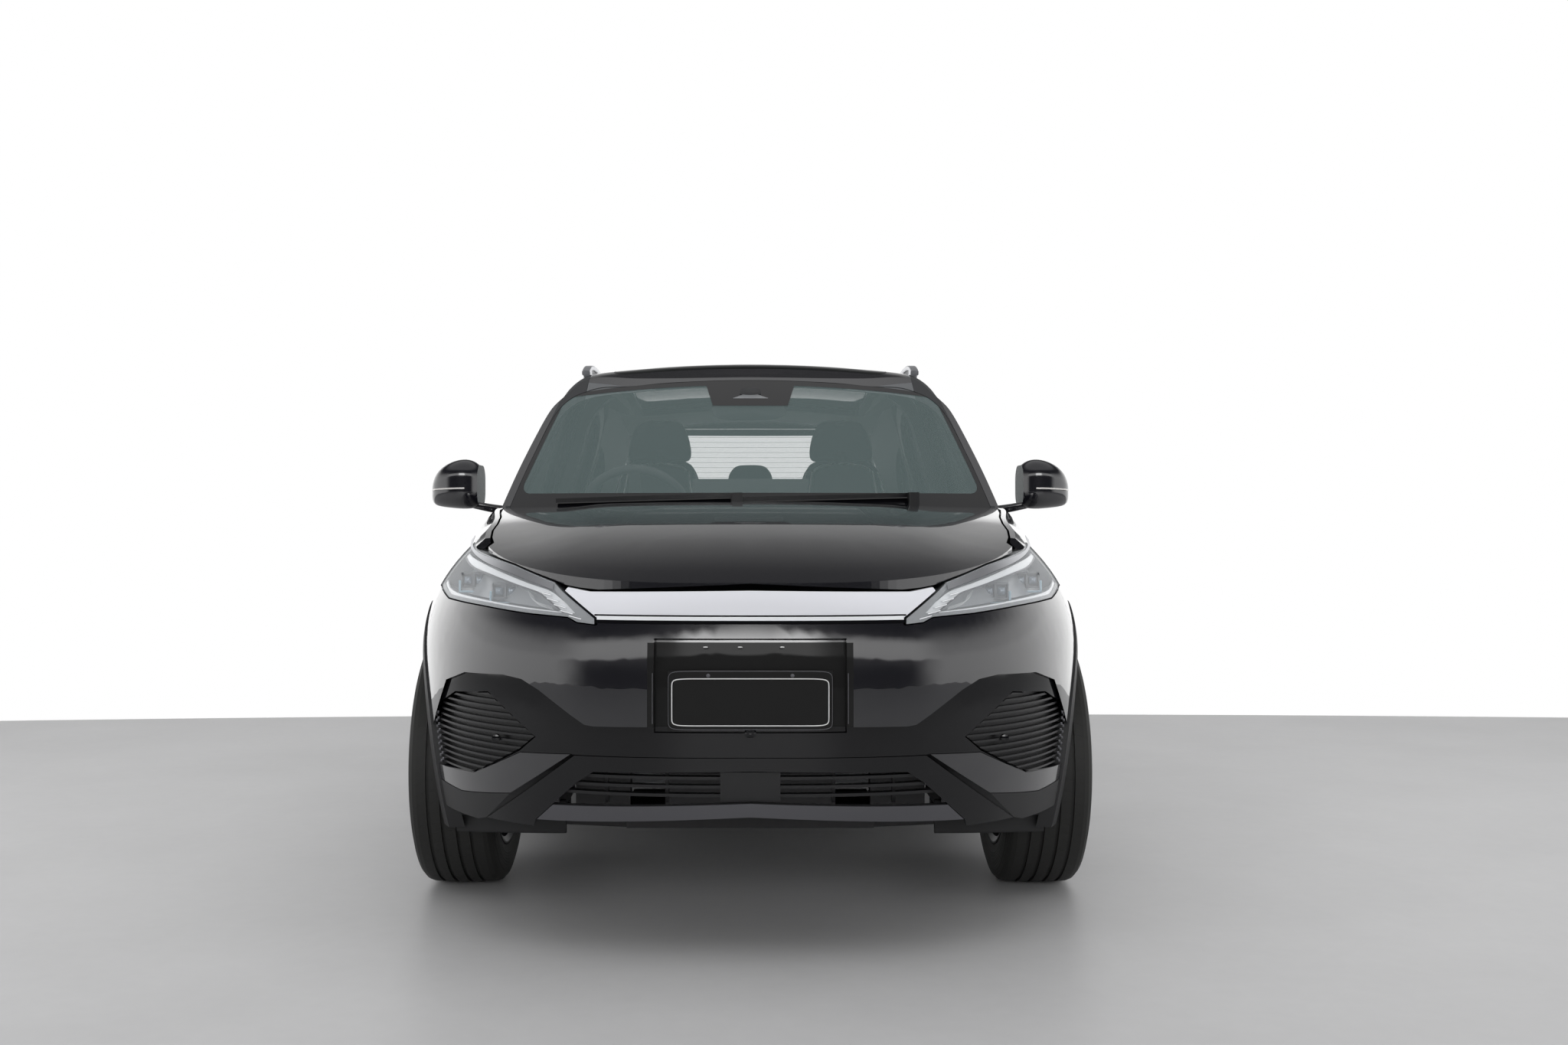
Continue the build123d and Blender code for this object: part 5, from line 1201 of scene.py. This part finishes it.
# doors: pull handles outside, armrests, pulls and speakers inside, each on its own door
handle = {"front": (35, 175, 905), "rear": (862, 1000, 912), "reach": 24, "size": (11, 24),
          "armrest": [(-26, -330, 655), (-30, -180, 668), (-30, -20, 680), (-26, 60, 690)],
          "pull": [(-6, -190, 800), (-30, -170, 806), (-30, -90, 812), (-6, -70, 816)],
          "speaker": (-330, 440, 78)}


def makeDoorPieces(end):
    y0, y1, z = handle[end]
    t = np.linspace(0, 1, 30)
    y = y0 + (y1 - y0) * t
    lift = handle["reach"] * np.clip(np.minimum(t, 1 - t) / 0.12, 0, 1) ** 0.6 - 4
    path = np.stack([flankX(y, z) + lift, y, np.full(30, z)], -1)
    grip = barPart(path, squarish(*handle["size"], 4, 16), (0, 0, 1))

    def hollow(y, z, inset):
        return flankX(y, z) + 0.6 - inset

    middle = (y0 + y1) / 2
    upper = [(y0 + 22, z + 22), (middle, z + 27), (y1 - 22, z + 22)]
    lower = [(y0 + 22, z - 24), (middle, z - 30), (y1 - 22, z - 24)]
    points, faces = ribbonPart(hollow, upper, lower, 0, 3, 20, 5)
    bowl = (points[:, [1, 0, 2]], faces)
    inner = float(flankX(y0 - 150.0, 700.0)) - 100
    rest = [(inner + x, y0 + y, z) for x, y, z in handle["armrest"]]
    rest = barPart(rest, squarish(62, 46, 4, 24), (0, 0, 1))
    pull = through([(inner + x, y0 + y, z) for x, y, z in handle["pull"]], 24)
    pull = barPart(pull, squarish(12, 20, 3, 16), (0, 0, 1))
    along, height, size = handle["speaker"]
    speaker = ringPart((inner - 3.0, y0 + along, height), size, 4, 0)
    for side in sides:
        body = f"{end}_door_{side}"
        name = end + side.capitalize()
        build("doorHandle_" + name, [onSide(grip, side)], paint, body)
        build("handleBowl_" + name, [onSide(bowl, side)], gloss, body)
        build("doorArmrest_" + name, [onSide(rest, side)], cabinPale, body)
        build("doorPull_" + name, [onSide(pull, side), onSide(speaker, side)], satinSilver, body)


for end in ends:
    makeDoorPieces(end)
print("door pieces made")

# behind: light lines in the lamp bar, reflectors, plate line, wiper on the rear window, roof aerial
rear = {"lines": ((984, 989), (964, 969)), "lineHalf": 700, "lineEnd": ((735, 0), (790, 2), (850, 6)),
        "reflector": ((560, 700), (432, 452)), "plateHalf": 177,
        "wiper": [(0, 1148), (-120, 1160), (-300, 1172)],
        "arm": ((0, 1140, 14, 1138), (-70, 1160, 20, 1158), (-150, 1164, 16, 1164)), "boss": 1136,
        "finLength": 150, "finHeight": 50, "finRear": 1720}


def makeRear():
    half = rear["lineHalf"]
    rows = [levelPart(tailY, np.linspace(-half, half, 5), band, -0.5, 1.2, 60) for band in rear["lines"]]
    build("tailLines", rows, lampRed, "tailgate")
    rows = []
    for low, high in rear["lines"]:
        upper = [(x, high - drop) for x, drop in rear["lineEnd"]]
        lower = [(x, low - drop) for x, drop in rear["lineEnd"]]
        rows.append(ribbonPart(tailY, upper, lower, -0.4, 1.2, 30, 3))
    build("tailLampLines", rows, bright, "body", True)
    across, band = rear["reflector"]
    reflector = levelPart(tailY, np.linspace(*across, 3), band, -0.6, 2, 24)
    build("rearReflectors", [reflector], lampRed, "body", True)
    low, high = (np.array(v, float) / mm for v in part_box("number_plate_rear"))
    line = frameLine(rear["plateHalf"], low[2] + 8, high[2] - 8, high[1] + 0.3, squarish(2.0, 1.0, 4, 8))
    build("plateLineRear", [line], plateBlack, "tailgate")
    path = through([(x, float(backlightY(x, z)) + 9, z) for x, z in rear["wiper"]], 30)
    blade = barPart(path, squarish(9, 12, 3, 12), (0, 1, 0))
    path = through([(x, float(backlightY(x, over)) + out, z) for x, over, out, z in rear["arm"]], 20)
    arm = barPart(path, squarish(14, 9, 3, 12), (0, 1, 0))
    z = rear["boss"]
    boss = domePart((0, float(backlightY(0, z)) + 6, z), 44, 40, 14, 8, 3.0, (0, 1, 0))
    build("rearWiper", [blade, arm, boss], mattBlack, "tailgate")
    nozzle = domePart((0, float(tailY(0, 900)) + 0.5, 925), 60, 18, 6, 4, 4.0, (0, 1, 0))
    build("rearCamera", [nozzle], gloss, "tailgate")
    t = np.linspace(0, 1, 26)[:, None]
    base = rear["finRear"] - rear["finLength"] * (1 - t)
    a = np.linspace(0, np.pi, 17)[None]
    tall = rear["finHeight"] * t**1.3 * np.clip((1 - t) / 0.10, 0, 1) ** 0.5 + 0.5
    wide = 26 * np.sin(np.pi * np.clip(t * 0.62 + 0.08, 0, 1))
    x = wide * np.cos(a) * np.abs(np.sin(a)) ** 0.35
    z = roofZ(base) - 3 + tall * np.sin(a) ** 0.8
    build("roofAerial", [ringsPart(np.stack([x, np.broadcast_to(base, x.shape), z], -1))], paint, "body")
    print("rear made")


makeRear()

# wheels: nuts round the hub and a cap ring on each, riding with its wheel
hub = {"nuts": 5, "circle": 57.0, "nut": 10.0, "out": (83.5, 93.0), "capOut": 90.0, "cap": 27}


def makeWheelPieces(end, y):
    low, high = hub["out"]
    profile = np.array([circle(radius, 6) for radius in (hub["nut"], hub["nut"], hub["nut"] * 0.7)])
    parts = []
    for turn in np.arange(hub["nuts"]) * 2 * np.pi / hub["nuts"] + np.pi / hub["nuts"]:
        cy, cz = y + hub["circle"] * math.cos(turn), axleHeight + hub["circle"] * math.sin(turn)
        path = [(halfTrack + out, cy, cz) for out in (low, (low + high) / 2, high)]
        parts.append(barPart(path, profile, (0, 0, 1)))
    parts.append(ringPart((halfTrack + hub["capOut"], y, axleHeight), hub["cap"], 2.0, 0))
    for side in sides:
        own = [onSide(part, side) for part in parts]
        build(f"wheelNuts_{end}_{side}", own, darkSilver, f"wheel_{end}_{side}")


makeWheelPieces("front", frontAxle)
makeWheelPieces("rear", rearAxle)
print("wheel pieces made")
